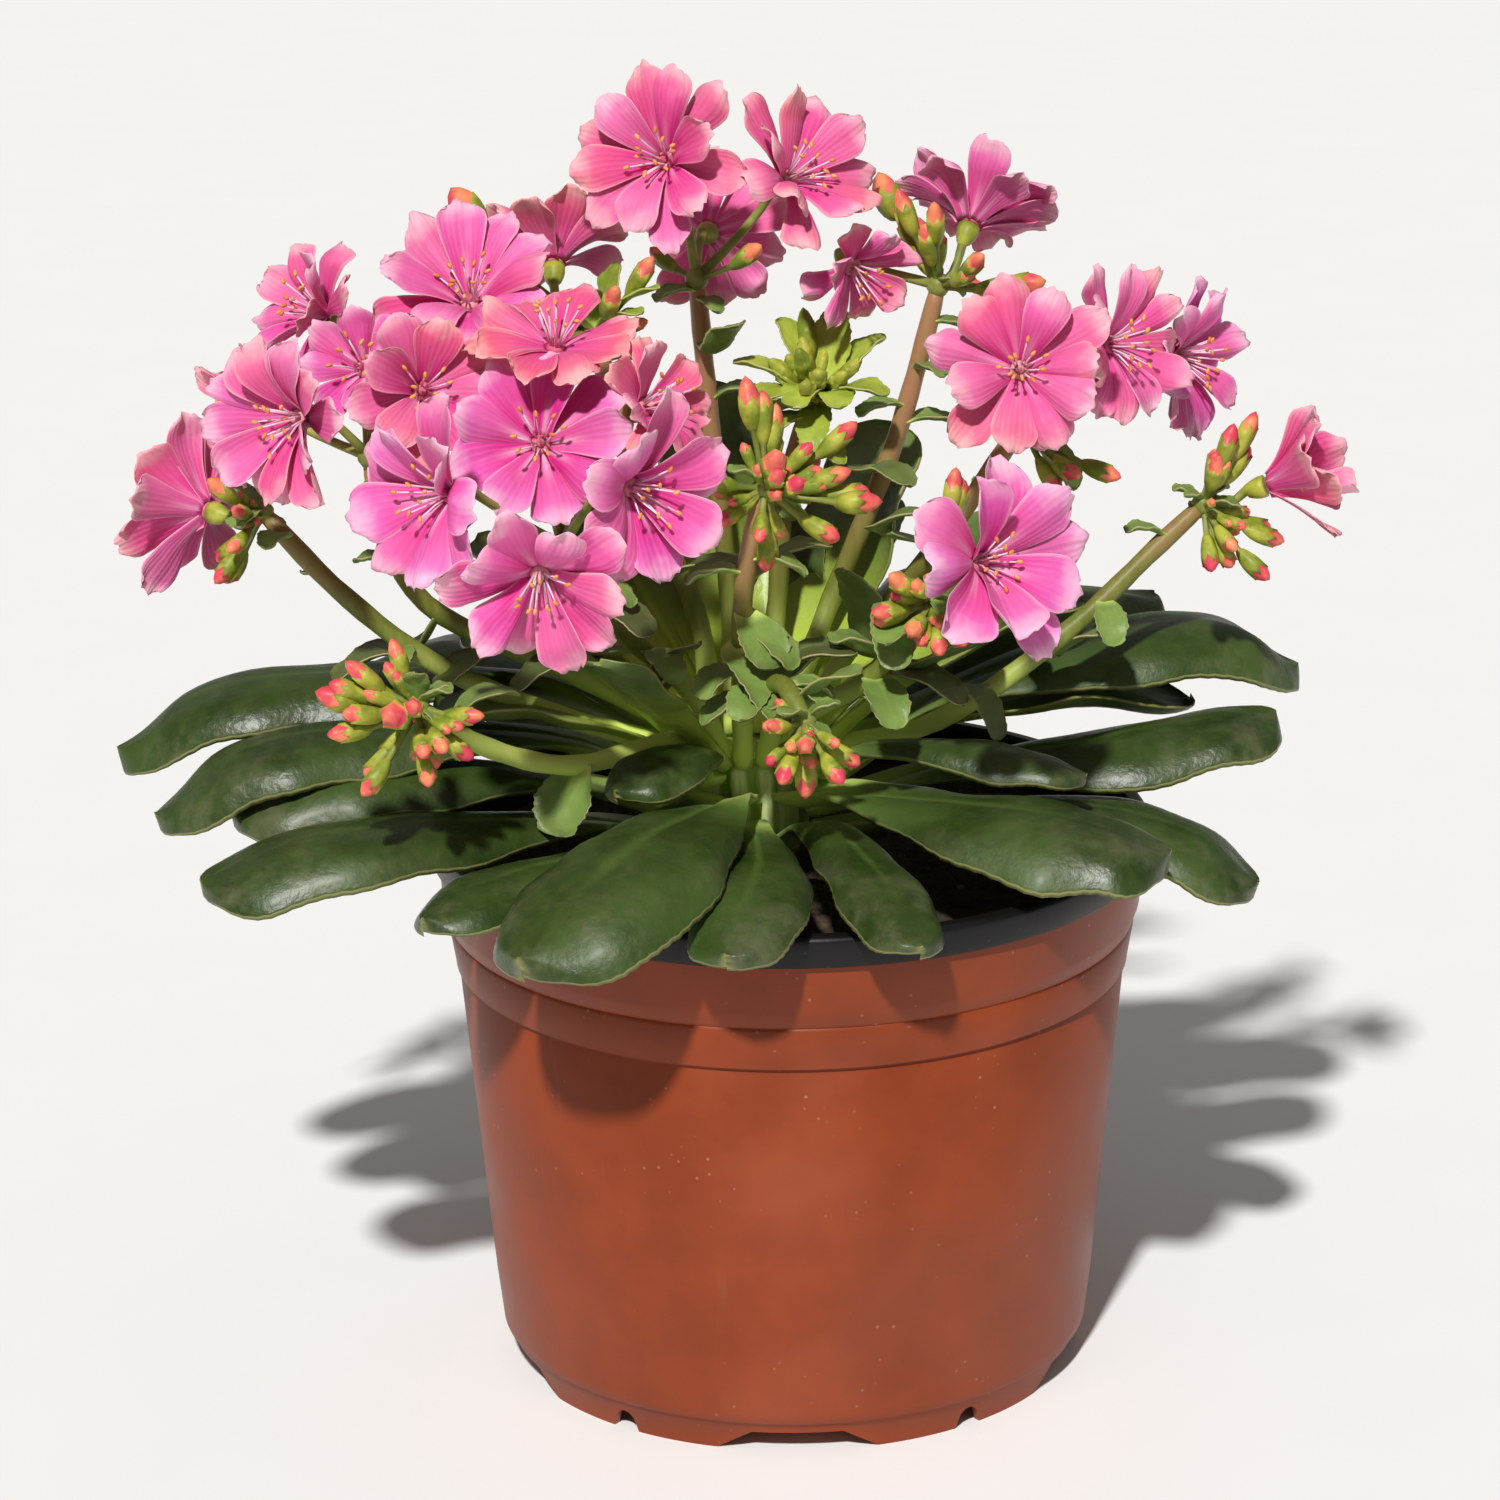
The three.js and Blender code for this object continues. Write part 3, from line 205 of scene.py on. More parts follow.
# Leaves of the stems that show best: base, tip, width and how brown they are, the brown partly real and
# partly painted shade, or -1 for fresh green
LEAFLETS = {
    "stem_02": [((-52, -44, 131), (-44, -40, 131), 6, 0.3), ((-34, -26, 113), (-39, -33, 104), 10.5, 0),
                ((-61, -50, 131), (-60, -54, 139), 4.5, 0.1)],
    "stem_03": [((-50, -6, 128), (-59, -12, 123), 7.5, 0.7), ((-63, -4, 128), (-77, -8, 124), 8, 0.7)],
    "stem_04": [((-32, -24, 141), (-23, -32, 138), 7.5, 0.9), ((-25, -16, 121), (-15, -26, 135), 7, 0.9),
                ((-34, -14, 129), (-46, -22, 126), 8, 0.8)],
    "stem_05": [((-20, 4, 141), (-30, 0, 145), 7, 0.5), ((-31, 5, 181), (-21, 0, 189), 5, -1),
                ((-31, 4, 180), (-24, -2, 185), 5, -1), ((-33, 4, 182), (-33, -2, 189), 6, -1),
                ((-31, 7, 181), (-28, 9, 191), 6, -1), ((-33, 5, 180), (-41, 1, 186), 6, -1)],
    "stem_06": [((-12, 16, 174), (-8, 10, 180), 7, 0.5)],
    "stem_07": [((13, 15, 153), (21, 5, 153), 7, 0.4)],
    "stem_08": [((14, -8, 127), (9, -18, 145), 8, 0.25), ((15, -8, 149), (23, -12, 153), 5, 0.2)],
    "stem_09": [((17, -26, 141), (17, -36, 133), 8, 0.05), ((16, -20, 128), (29, -26, 124), 9, 0.75)],
    "stem_10": [((31, -14, 123), (35, -18, 115), 6, 0.6), ((45, -2, 125), (55, -6, 130), 6, 0.2)],
    "stem_11": [((-6, -31, 142), (-3, -38, 134), 9.5, 0), ((-9, -30, 134), (-1, -42, 126), 9.5, 0),
                ((-7, -26, 148), (-21, -20, 144), 6, 0.8), ((-4, -28, 149), (7, -28, 152), 6.5, 0.4)],
    "stem_12": [((0, -24, 129), (8, -22, 134), 9, 0.3), ((-1, -28, 131), (11, -30, 134), 7, 0.8),
                ((1, -40, 128), (11, -46, 136), 8, 0)],
    "stem_13": [((2, 16, 153), (9, 10, 160), 7, 0.3), ((1, 14, 145), (-5, 8, 155), 7, 0.4),
                ((2, 14, 167), (-6, 7, 167), 7.5, -1), ((4, 13, 168), (1, 4, 167), 7, -1),
                ((7, 13, 167), (9, 4, 167), 7, -1), ((8, 14, 167), (17, 8, 168), 7, -1),
                ((4, 19, 169), (-1, 23, 178), 7.5, -1), ((7, 20, 169), (9, 25, 179), 7.5, -1),
                ((9, 19, 168), (17, 22, 175), 7, -1), ((2, 17, 167), (-9, 17, 172), 7, -1),
                ((5, 13, 164), (4, 5, 159), 6, -1), ((3, 14, 163), (-5, 8, 160), 6, -1)],
}


def smooth(low, high, value):
    """Share from 0 to 1 of value between two edges, eased at both ends."""
    share = min(1, max(0, (value - low) / (high - low)))
    return share * share * (3 - 2 * share)


def mix(a, b, share):
    """Value between a and b."""
    return a + (b - a) * share


def reading(table, place):
    """Value of a table of (place, value) pairs, with straight lines between them."""
    for (low, first), (high, second) in zip(table, table[1:]):
        if place <= high:
            return mix(first, second, (place - low) / (high - low))
    return table[-1][1]


def direction(azimuth, elevation):
    """Unit vector at an azimuth from +X and an elevation, in degrees."""
    turn, rise = math.radians(azimuth), math.radians(elevation)
    return Vector((math.cos(turn) * math.cos(rise), math.sin(turn) * math.cos(rise), math.sin(rise)))


class Path:
    """Smooth centripetal curve through points, read by its share of the length."""

    STEPS = 24

    def __init__(self, points):
        points = [Vector(point) for point in points]
        ends = [2 * points[0] - points[1], *points, 2 * points[-1] - points[-2]]
        self.samples = [points[0]]
        for before, start, end, after in zip(ends, ends[1:], ends[2:], ends[3:]):
            first, middle, last = (
                max(1e-4, (b - a).length ** 0.5) for a, b in ((before, start), (start, end), (end, after)))
            leave = (start - before) / first - (end - before) / (first + middle) + (end - start) / middle
            arrive = (end - start) / middle - (after - start) / (middle + last) + (after - end) / last
            for step in range(1, self.STEPS + 1):
                u = step / self.STEPS
                self.samples.append(
                    start * (2 * u**3 - 3 * u**2 + 1) + end * (3 * u**2 - 2 * u**3)
                    + leave * middle * (u**3 - 2 * u**2 + u) + arrive * middle * (u**3 - u**2))
        self.lengths = [0.0]
        for a, b in zip(self.samples, self.samples[1:]):
            self.lengths.append(self.lengths[-1] + (b - a).length)

    def point(self, share):
        """Point at a share of the length, drawn on straight past both ends."""
        goal = share * self.lengths[-1]
        last = len(self.samples) - 2
        k = next((i for i in range(last) if self.lengths[i + 1] >= goal), last)
        span = self.lengths[k + 1] - self.lengths[k]
        return self.samples[k].lerp(self.samples[k + 1], (goal - self.lengths[k]) / span)

    def heading(self, share):
        """Unit tangent at a share of the length."""
        return (self.point(share + 0.01) - self.point(share - 0.01)).normalized()


def faces_at(verts):
    """Faces that meet at any of the vertices, each of them once."""
    return list(dict.fromkeys(face for vert in verts for face in vert.link_faces))


def sheet_grid(bm, columns, rows, material, double=True):
    """A grid with its UVs, doubled into a closed slab. Returns (vertex, across, along, side) rows."""
    uvs = bm.loops.layers.uv.get("UVMap") or bm.loops.layers.uv.new("UVMap")
    made = bmesh.ops.create_grid(bm, x_segments=columns, y_segments=rows, size=1)["verts"]
    if double:
        grown = bmesh.ops.extrude_face_region(bm, geom=faces_at(made), use_keep_orig=True)["geom"]
        top = [item for item in grown if isinstance(item, bmesh.types.BMVert)]
        bmesh.ops.translate(bm, verts=top, vec=UP)
        made = made + top
    for face in faces_at(made):
        face.material_index = material
        face.smooth = True
        for loop in face.loops:
            loop[uvs].uv = ((loop.vert.co.x + 1) / 2, (loop.vert.co.y + 1) / 2)
    return [(vert, vert.co.x, (vert.co.y + 1) / 2, 1 if vert.co.z > 0.5 else -1) for vert in made]


# Share of the full width at places along a blade. Past its last place a blade rounds off to its tip
LEAF_OUTLINE = [(0, 0.32), (0.24, 0.38), (0.44, 0.64), (0.6, 0.9), (0.75, 1), (0.87, 0.92)]
BRACT_OUTLINE = [(0, 0.4), (0.2, 0.62), (0.5, 1), (0.72, 0.95), (0.87, 0.72)]
TIP_START = 0.87
# Tips are round, or pointed where a leaf droops at least this much
ROUND_TIP, POINTED_TIP, POINTED_DROOP = 2.2, 1.25, 3.5
# Rows crowd towards the tip, margins are toothed past one share, and the heading stays past another
ROW_CROWDING, TEETH_START, LAST_HEADING = 1.35, 0.35, 0.985


def blade(bm, path, width, outline=LEAF_OUTLINE, thickness=2.4, camber=0.18, wave=0.8, phase=0.0,
          teeth=0.007, rows=60, columns=18, droop=1.0, material=0):
    """Fleshy blade along a path: channelled at its foot, rolled down at its margins, drooping at its tip."""
    tip_share = outline[-1][1]
    pointed = ROUND_TIP if droop < POINTED_DROOP else POINTED_TIP
    grid = sheet_grid(bm, columns, rows, material)
    for vert, across, along, side in grid:
        t = 1 - (1 - along) ** ROW_CROWDING
        s = math.sin(across * math.pi / 2)
        if t < TIP_START:
            share = reading(outline, t)
        else:
            share = tip_share * math.sqrt(max(0.0, 1 - ((t - TIP_START) / (1 - TIP_START)) ** pointed))
        if t > TEETH_START:
            share *= 1 + teeth * (1 if round(along * rows) % 2 else -1) + 0.03 * math.sin(31 * t + phase)
        forward = path.heading(min(t, LAST_HEADING))
        level = forward.cross(UP).normalized()
        normal = level.cross(forward)
        cushion = smooth(0.1, 0.6, t)
        roll = mix(-0.12 * s * s, camber * (0.35 * s * s + 0.75 * s**6), cushion) * width * max(share, 0.5)
        edge = smooth(0.3, 1, abs(s))
        ripple = wave * t * edge * math.sin(16 * t + phase + 1.3 * math.copysign(1, s))
        lump = 0.036 * width * noise.noise(Vector((7 * t, 1.8 * s, phase))) * t
        rib = -0.014 * width * math.exp(-((s / 0.1) ** 2)) * smooth(1, 0.4, t)
        lift = ripple + lump + rib - roll - 0.04 * width * droop * smooth(0.8, 1, t) ** 1.5
        skin = 0.5 * thickness * mix(1, 0.3, abs(s) ** 2.4) * mix(1, 0.45, smooth(0.88, 1, t))
        vert.co = path.point(t) + level * (s * 0.5 * width * share) + normal * (lift + side * skin)
    return [vert for vert, *_ in grid]


RIBS = 5


def tube(bm, centres, radii, sides=8, material=0, bands=None, flute=0.0, teeth=None):
    """Round body through centres: a grid rolled up, closed at its seam and ends.

    Bands give each row its material. Flutes swell its five ribs, and teeth push a row along at them.
    """
    teeth = teeth or {}
    rows = len(centres) - 1
    rings = []
    side = None
    for i, centre in enumerate(centres):
        heading = (centres[min(i + 1, rows)] - centres[max(i - 1, 0)]).normalized()
        helper = side or (UP if abs(heading.z) < 0.8 else Vector((1, 0, 0)))
        side = (helper - heading * helper.dot(heading)).normalized()
        rings.append((centre, side, heading))
    verts = []
    for vert, across, along, _ in sheet_grid(bm, sides, rows, material, double=False):
        row = round(along * rows)
        centre, first, heading = rings[row]
        second = heading.cross(first)
        turn = math.pi * (across + 1)
        rib = math.cos(RIBS * turn)
        radius = radii[row] * (1 + flute * rib)
        around = first * math.cos(turn) + second * math.sin(turn)
        vert.co = centre + around * radius + heading * (teeth.get(row, 0) * rib)
        verts.append(vert)
    if bands:
        uvs = bm.loops.layers.uv["UVMap"]
        for face in faces_at(verts):
            middle = sum(loop[uvs].uv.y for loop in face.loops) / len(face.loops)
            face.material_index = bands[min(int(middle * rows), len(bands) - 1)]
    bmesh.ops.remove_doubles(bm, verts=verts, dist=1e-4)
    edges = dict.fromkeys(edge for vert in verts if vert.is_valid for edge in vert.link_edges)
    rim = [edge for edge in edges if edge.is_boundary]
    if rim:
        for face in bmesh.ops.holes_fill(bm, edges=rim, sides=0)["faces"]:
            face.material_index = bands[0] if bands else material


def lathe(bm, profile, steps):
    """Full turn about Z of (radius, height) points that start and end on the axis."""
    verts = [bm.verts.new((radius, 0, height)) for radius, height in profile]
    edges = [bm.edges.new(pair) for pair in zip(verts, verts[1:])]
    bmesh.ops.spin(bm, geom=verts + edges, cent=(0, 0, 0), axis=UP, angle=2 * math.pi, steps=steps,
                   use_merge=True)
    bmesh.ops.remove_doubles(bm, verts=bm.verts, dist=1e-3)
    bmesh.ops.recalc_face_normals(bm, faces=bm.faces)
    for face in bm.faces:
        face.smooth = True


def finished(bm, name, materials):
    """Brings a millimetre mesh into the frame as the piece that stands for its node."""
    bmesh.ops.recalc_face_normals(bm, faces=bm.faces)
    bmesh.ops.transform(bm, matrix=Matrix.Translation(POT_AXIS) @ Matrix.Scale(MM, 4), verts=bm.verts)
    mesh = bpy.data.meshes.new(name)
    bm.to_mesh(mesh)
    bm.free()
    for material in materials:
        mesh.materials.append(material)
    piece = bpy.data.objects.new(f"{name}_looks", mesh)
    bpy.context.scene.collection.objects.link(piece)
    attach(piece, "root")
    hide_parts(name)
    return piece


class Shader:
    """A material, and short names for laying out its nodes."""

    def __init__(self, name):
        self.material = bpy.data.materials.get(name) or bpy.data.materials.new(name)
        self.material.use_nodes = True
        self.tree = self.material.node_tree
        self.tree.nodes.clear()
        self.surface = self.add("ShaderNodeBsdfPrincipled")
        self.add("ShaderNodeOutputMaterial", {"Surface": self.surface.outputs[0]})

    def add(self, kind, inputs=(), **settings):
        """A node with its settings, and its inputs linked or set."""
        made = self.tree.nodes.new(kind)
        for key, value in settings.items():
            setattr(made, key, value)
        for key, value in dict(inputs).items():
            self.give(made.inputs[key], value)
        return made

    def give(self, socket, value):
        """Links a socket to another, or sets its value."""
        if isinstance(value, bpy.types.NodeSocket):
            self.tree.links.new(value, socket)
        else:
            socket.default_value = (*value, 1) if socket.type == "RGBA" else value

    def set(self, **values):
        """Principled sockets by name, with spaces written as underscores."""
        for key, value in values.items():
            self.give(self.surface.inputs[key.replace("_", " ")], value)

    def place(self):
        """Object coordinates."""
        return self.add("ShaderNodeTexCoord").outputs["Object"]

    def stretched(self, across, upright):
        """Object coordinates at one scale across and another along Z, for streaks."""
        made = self.add("ShaderNodeMapping", {"Vector": self.place(), "Scale": (across, across, upright)})
        return made.outputs[0]

    def noise(self, scale, detail=3.0, roughness=0.55, vector=None):
        """Noise texture from 0 to 1 on object coordinates."""
        return self.add("ShaderNodeTexNoise", {
            "Vector": vector or self.place(), "Scale": scale, "Detail": detail, "Roughness": roughness,
        }).outputs["Fac"]

    def cells(self, scale):
        """Distance from the nearest of scattered points."""
        made = self.add("ShaderNodeTexVoronoi", {"Vector": self.place(), "Scale": scale})
        return made.outputs["Distance"]

    def math(self, operation, first, second=0.0, clamp=False):
        """Math node."""
        made = self.add("ShaderNodeMath", {0: first, 1: second}, operation=operation, use_clamp=clamp)
        return made.outputs[0]

    def plus(self, first, second, clamp=False):
        """Sum of two values."""
        return self.math("ADD", first, second, clamp)

    def times(self, first, second, clamp=False):
        """Product of two values."""
        return self.math("MULTIPLY", first, second, clamp)

    def ramp(self, value, low, high, start=0.0, end=1.0):
        """Eased share of a value between two edges."""
        return self.add("ShaderNodeMapRange", {
            "Value": value, "From Min": low, "From Max": high, "To Min": start, "To Max": end,
        }, interpolation_type="SMOOTHSTEP").outputs["Result"]

    def blend(self, share, first, second):
        """Mix of two colours."""
        made = self.add("ShaderNodeMix", data_type="RGBA")
        self.give(made.inputs["Factor"], share)
        self.give(made.inputs[6], first)
        self.give(made.inputs[7], second)
        return made.outputs[2]

    def bump(self, height, strength, distance):
        """Bump from a height."""
        bumped = self.add("ShaderNodeBump", {"Height": height, "Strength": strength, "Distance": distance})
        self.give(self.surface.inputs["Normal"], bumped.outputs["Normal"])

    def uv(self):
        """The piece's own map: across, along, and from 0 at the middle line to 1 at the margins."""
        parts = self.add("ShaderNodeSeparateXYZ", {0: self.add("ShaderNodeUVMap", uv_map="UVMap").outputs[0]})
        across = parts.outputs["X"]
        out = self.math("ABSOLUTE", self.math("SUBTRACT", self.times(across, 2.0), 1.0))
        return across, parts.outputs["Y"], out

    def attribute(self, name):
        """A number that the piece's mesh holds."""
        return self.add("ShaderNodeAttribute", attribute_name=name).outputs["Fac"]


def plastic(name, colour, dust_colour, dust, roughness):
    """Moulded plastic with soft mottling, fine specks of dust and faint scratches."""
    shader = Shader(name)
    mottle = shader.noise(55, 5)
    darker, lighter = (tuple(share * c for c in colour) for share in (0.84, 1.1))
    base = shader.blend(shader.ramp(mottle, 0.3, 0.75), darker, lighter)
    patches = shader.ramp(shader.noise(70, 2), 0.5, 0.68)
    speck = shader.times(shader.ramp(shader.cells(420), 0.16, 0.05), patches)
    scratch = shader.ramp(shader.noise(1.0, 2, vector=shader.stretched(260, 22)), 0.68, 0.78)
    film = shader.times(shader.ramp(shader.noise(16, 3), 0.45, 0.8), dust)
    worn = shader.plus(film, shader.times(speck, 0.55))
    worn = shader.plus(worn, shader.times(scratch, 0.5 * dust), clamp=True)
    shader.set(Base_Color=shader.blend(worn, base, dust_colour),
               Roughness=shader.ramp(mottle, 0.2, 0.8, roughness - 0.06, roughness + 0.08),
               Specular_IOR_Level=0.28)
    shader.bump(shader.noise(900, 2), 0.12, 0.0002)
    return shader.material


def foliage(name, dark, light, foot, margin, foot_end=0.34, roughness=0.4, coat=0.06, margin_start=0.96):
    """Waxy leaf skin: mottled green, pale foot and midrib, painted glow at the very foot, brown mixed with
    painted shade, a thin bright margin and a dusty film.
    """
    # The yellow-green at the very foot is a painted glow of sunlit tissue, and the brown that the shade
    # attribute mixes in is partly real browning and partly painted shade
    painted_foot_glow, brown_and_painted_shade, dust = (0.62, 0.76, 0.2), (0.07, 0.075, 0.025), (0.18, 0.18, 0.1)
    shader = Shader(name)
    _, along, out = shader.uv()
    mottle = shader.ramp(shader.noise(45, 4), 0.34, 0.7)
    green = shader.blend(mottle, dark, light)
    fine = shader.ramp(shader.noise(380, 4), 0.4, 0.72)
    green = shader.blend(shader.times(fine, 0.4), green, light)
    rib = shader.times(shader.ramp(out, 0.09, 0.0), shader.ramp(along, 0.9, 0.2))
    pale = shader.plus(shader.ramp(along, foot_end, 0.04), shader.times(rib, 0.35), clamp=True)
    green = shader.blend(pale, green, foot)
    # Painted glow at the very foot of the piece
    green = shader.blend(shader.ramp(along, 0.24, 0.02), green, painted_foot_glow)
    # Brown, partly real browning and partly painted shade, by the piece's shade attribute
    green = shader.blend(shader.attribute("shade"), green, brown_and_painted_shade)
    dusty = shader.ramp(shader.plus(along, shader.times(out, 0.4)), 0.5, 1.3, 0.1, 0.46)
    film = shader.times(shader.ramp(shader.noise(110, 5, 0.7), 0.42, 0.72), dusty)
    green = shader.blend(film, green, dust)
    rim = shader.math("MAXIMUM", shader.ramp(out, margin_start, 1.0), shader.ramp(along, 0.985, 1.0))
    rim = shader.times(rim, shader.ramp(along, 0.1, 0.5))
    shader.set(Base_Color=shader.blend(rim, green, margin),
               Roughness=shader.ramp(mottle, 0.0, 1.0, roughness - 0.06, roughness + 0.1),
               Specular_IOR_Level=0.32, Coat_Weight=coat, Coat_Roughness=0.25,
               Subsurface_Weight=0.05, Subsurface_Radius=(0.001, 0.002, 0.0006))
    shader.bump(shader.plus(shader.noise(700, 4), shader.times(shader.noise(110, 3), 0.9)), 0.36, 0.0005)
    return shader.material


def petal_material(colours):
    """Satin petal: deep middle, pale throat, a pale edge brightened further as painted highlight, fanned
    veins, and a salmon wash on some blooms.
    """
    shader = Shader("petal")
    across, along, out = shader.uv()
    uneven = shader.times(shader.math("SUBTRACT", shader.noise(210, 3), 0.5), 0.5)
    reach = shader.plus(along, uneven)
    body = shader.blend(shader.ramp(reach, 0.25, 0.85), colours.petal_deep, colours.petal_colour)
    warm = shader.attribute("salmon")
    wash = shader.times(warm, shader.ramp(along, 0.1, 0.85, 0.2, 0.95), clamp=True)
    body = shader.blend(wash, body, colours.petal_salmon)
    # The lighter edges and sides are partly the petal's own pale margin and partly painted highlight that
    # offsets dark shading at the thin rim and lights the folded margins
    sides = shader.times(shader.ramp(out, 0.58, 1.0), 0.85)
    edge = shader.math("MAXIMUM", shader.ramp(reach, 0.68, 1.02), sides)
    pale = shader.blend(warm, colours.petal_edge, colours.salmon_edge)
    body = shader.blend(shader.times(edge, 0.85), body, pale)
    waver = shader.times(shader.noise(320, 2), 3.0)
    fan = shader.math("SINE", shader.plus(shader.times(across, 74.0), waver))
    vein = shader.times(shader.ramp(fan, 0.3, 1.0), shader.ramp(along, 0.95, 0.3))
    body = shader.blend(shader.times(vein, 0.3), body, colours.petal_vein)
    streak = shader.times(shader.ramp(out, 0.3, 0.0), shader.ramp(along, 0.55, 0.1))
    faded = shader.math("SUBTRACT", 0.7, shader.times(warm, 0.55))
    body = shader.blend(shader.times(streak, faded, clamp=True), body, colours.petal_throat)
    body = shader.blend(shader.attribute("tone"), body, (0.9, 0.6, 0.75))
    shader.set(Base_Color=body, Roughness=0.5, Specular_IOR_Level=0.2,
               Subsurface_Weight=0.35, Subsurface_Radius=(0.003, 0.0012, 0.002))
    shader.bump(shader.plus(fan, shader.noise(900, 2)), 0.16, 0.0002)
    return shader.material


def plain(name, dark, light, scale, roughness, height=0.2, subsurface=0.0, upright=1.0):
    """Mottled plant tissue for small round parts. Less upright scale draws the mottling into streaks."""
    shader = Shader(name)
    mottle = shader.noise(1.0, 3, vector=shader.stretched(scale, scale * upright))
    shader.set(Base_Color=shader.blend(shader.ramp(mottle, 0.34, 0.66), dark, light), Roughness=roughness,
               Specular_IOR_Level=0.3, Subsurface_Weight=subsurface, Subsurface_Radius=(0.001, 0.001, 0.0006))
    shader.bump(mottle, height, 0.0003)
    return shader.material


def stem_material(colours):
    """Flower stem: pale with painted glow at its root, green darkened with painted shade at its foot and
    brown pink higher up, with fine streaks.
    """
    shader = Shader("stem")
    height = shader.add("ShaderNodeSeparateXYZ", {0: shader.place()}).outputs["Z"]
    wavering = shader.plus(height, shader.times(shader.noise(90, 2), 0.02))
    body = shader.blend(shader.ramp(wavering, 0.14, 0.176), colours.stem_foot, colours.stem_top)
    fine = shader.noise(1.0, 3, vector=shader.stretched(900, 90))
    body = shader.blend(shader.ramp(fine, 0.35, 0.7, 0.0, 0.3), body, (0.26, 0.28, 0.06))
    # Painted glow: the root of the stem, in the shaded heart, is drawn bright yellow-green
    body = shader.blend(shader.ramp(height, 0.134, 0.11), body, (0.72, 0.86, 0.2))
    shader.set(Base_Color=body, Roughness=0.45, Specular_IOR_Level=0.3,
               Subsurface_Weight=0.15, Subsurface_Radius=(0.002, 0.002, 0.0005))
    shader.bump(fine, 0.25, 0.0003)
    return shader.material


def soil_material():
    """Damp potting soil with bark, fibre and pale grains."""
    shader = Shader("soil")
    coarse = shader.noise(160, 6, 0.7)
    base = shader.blend(shader.ramp(coarse, 0.3, 0.7), (0.012, 0.008, 0.005), (0.09, 0.055, 0.03))
    patches = shader.ramp(shader.noise(90, 2), 0.6, 0.7)
    grain = shader.times(shader.ramp(shader.cells(330), 0.3, 0.15), patches)
    shader.set(Base_Color=shader.blend(grain, base, (0.5, 0.45, 0.38)), Roughness=0.95)
    shader.bump(shader.plus(coarse, shader.noise(600, 3)), 0.9, 0.0012)
    return shader.material


def length_setting(name, description, default):
    """Property that holds a length in metres."""
    return bpy.props.FloatProperty(
        name=name, description=description, default=default, unit="LENGTH", subtype="DISTANCE")


def colour_setting(name, description, *default):
    """Property that holds a linear colour."""
    return bpy.props.FloatVectorProperty(name=name, description=description, default=default, subtype="COLOR")


class PotSettings(bpy.types.PropertyGroup):
    """Sizes and colours of the nursery pot."""

    height: length_setting("Height", "From the ground to the lip", 0.096)
    lip_radius: length_setting("Lip radius", "Outer radius of the black lip", 0.0616)
    outside: colour_setting("Outside", "Terracotta plastic", 0.245, 0.041, 0.009)
    inside: colour_setting("Inside", "Black plastic of the lip and inner wall", 0.007, 0.0065, 0.007)


class FoliageSettings(bpy.types.PropertyGroup):
    """Sizes and colours of leaves, bracts and stems."""

    leaf_thickness: length_setting("Leaf thickness", "At the midrib", 0.0024)
    leaf_dark: colour_setting("Leaf", "Darker green of the leaves", 0.017, 0.035, 0.0045)
    leaf_light: colour_setting("Leaf bloom", "Lighter green of the leaves", 0.047, 0.084, 0.014)
    bract: colour_setting("Bract", "Leaves of the flower stems", 0.22, 0.34, 0.075)
    # The stem foot's dark olive is partly its own green and partly painted shade
    stem_foot: colour_setting("Stem foot", "Lower part of the stems", 0.13, 0.155, 0.02)
    stem_top: colour_setting("Stem top", "Sunlit part of the stems", 0.4, 0.19, 0.1)


class BloomSettings(bpy.types.PropertyGroup):
    """Sizes and colours of the blooms."""

    petal_thickness: length_setting("Petal thickness", "Of one petal", 0.0004)
    petal_throat: colour_setting("Throat", "Pale streak at the petal's claw", 0.8, 0.5, 0.66)
    petal_deep: colour_setting("Deep", "Inner half of the petal", 0.66, 0.028, 0.28)
    petal_colour: colour_setting("Petal", "Outer half of the petal", 0.72, 0.11, 0.44)
    # The edge colour is partly the petal's own pale margin and partly painted highlight
    petal_edge: colour_setting("Edge", "Pale margin", 0.85, 0.5, 0.66)
    petal_salmon: colour_setting("Salmon", "Wash of the ageing blooms", 0.78, 0.1, 0.17)
    salmon_edge: colour_setting("Salmon edge", "Margin of the ageing blooms", 0.86, 0.45, 0.4)
    petal_vein: colour_setting("Vein", "Fine veins", 0.44, 0.015, 0.14)


class StageSettings(bpy.types.PropertyGroup):
    """Light and floor."""

    key_strength: bpy.props.FloatProperty(
        name="Key light", description="Strength of the high front light", default=3.7)
    fill_strength: bpy.props.FloatProperty(
        name="Fill light", description="Strength of the pale room", default=0.22)
    floor: colour_setting("Floor", "Pale floor", 0.86, 0.86, 0.86)


# Pot, from its rim band down to its foot, then its wall, lip, foot notches and drain holes
BAND_RADIUS, BAND_BOTTOM, RING_HEIGHT, RING_RADIUS = 60.3, 82, 72, 57.8
BASE_RADIUS, FOOT_RADIUS, FOOT_HEIGHT, FOOT_FLARE, FLOOR_UNDERSIDE, WALL = 51.3, 49.2, 5, 0.7, 3.9, 1.2
LIP_DEPTH, LIP_EDGE = 5.2, 0.9
NOTCH_COUNT, NOTCH_TOP, WIDE_BOTTOM, WIDE_TOP, SMALL_NOTCH = 10, 3.5, 13.8, 7.7, 2
DRAIN_COUNT, DRAIN_RING, DRAIN_RADIUS, DRILL_DEPTH = 5, 30, 3.5, 4
# Edges that turn by more degrees than this stay sharp
SHARP_ANGLE = 50
# Facets round each turned piece
POT_STEPS, SOIL_STEPS, CROWN_STEPS = 360, 180, 72


def notch_height(angle):
    """How high the foot ring's lower edge stands at an angle from the front, in millimetres."""
    pitch = 2 * math.pi / NOTCH_COUNT
    index = round(angle / pitch)
    off = abs(angle - index * pitch) * FOOT_RADIUS
    if index % 2:
        return NOTCH_TOP - SMALL_NOTCH + math.sqrt(SMALL_NOTCH**2 - off**2) if off < SMALL_NOTCH else 0.0
    return NOTCH_TOP * min(1.0, max(0.0, (WIDE_BOTTOM - off) / (WIDE_BOTTOM - WIDE_TOP)))


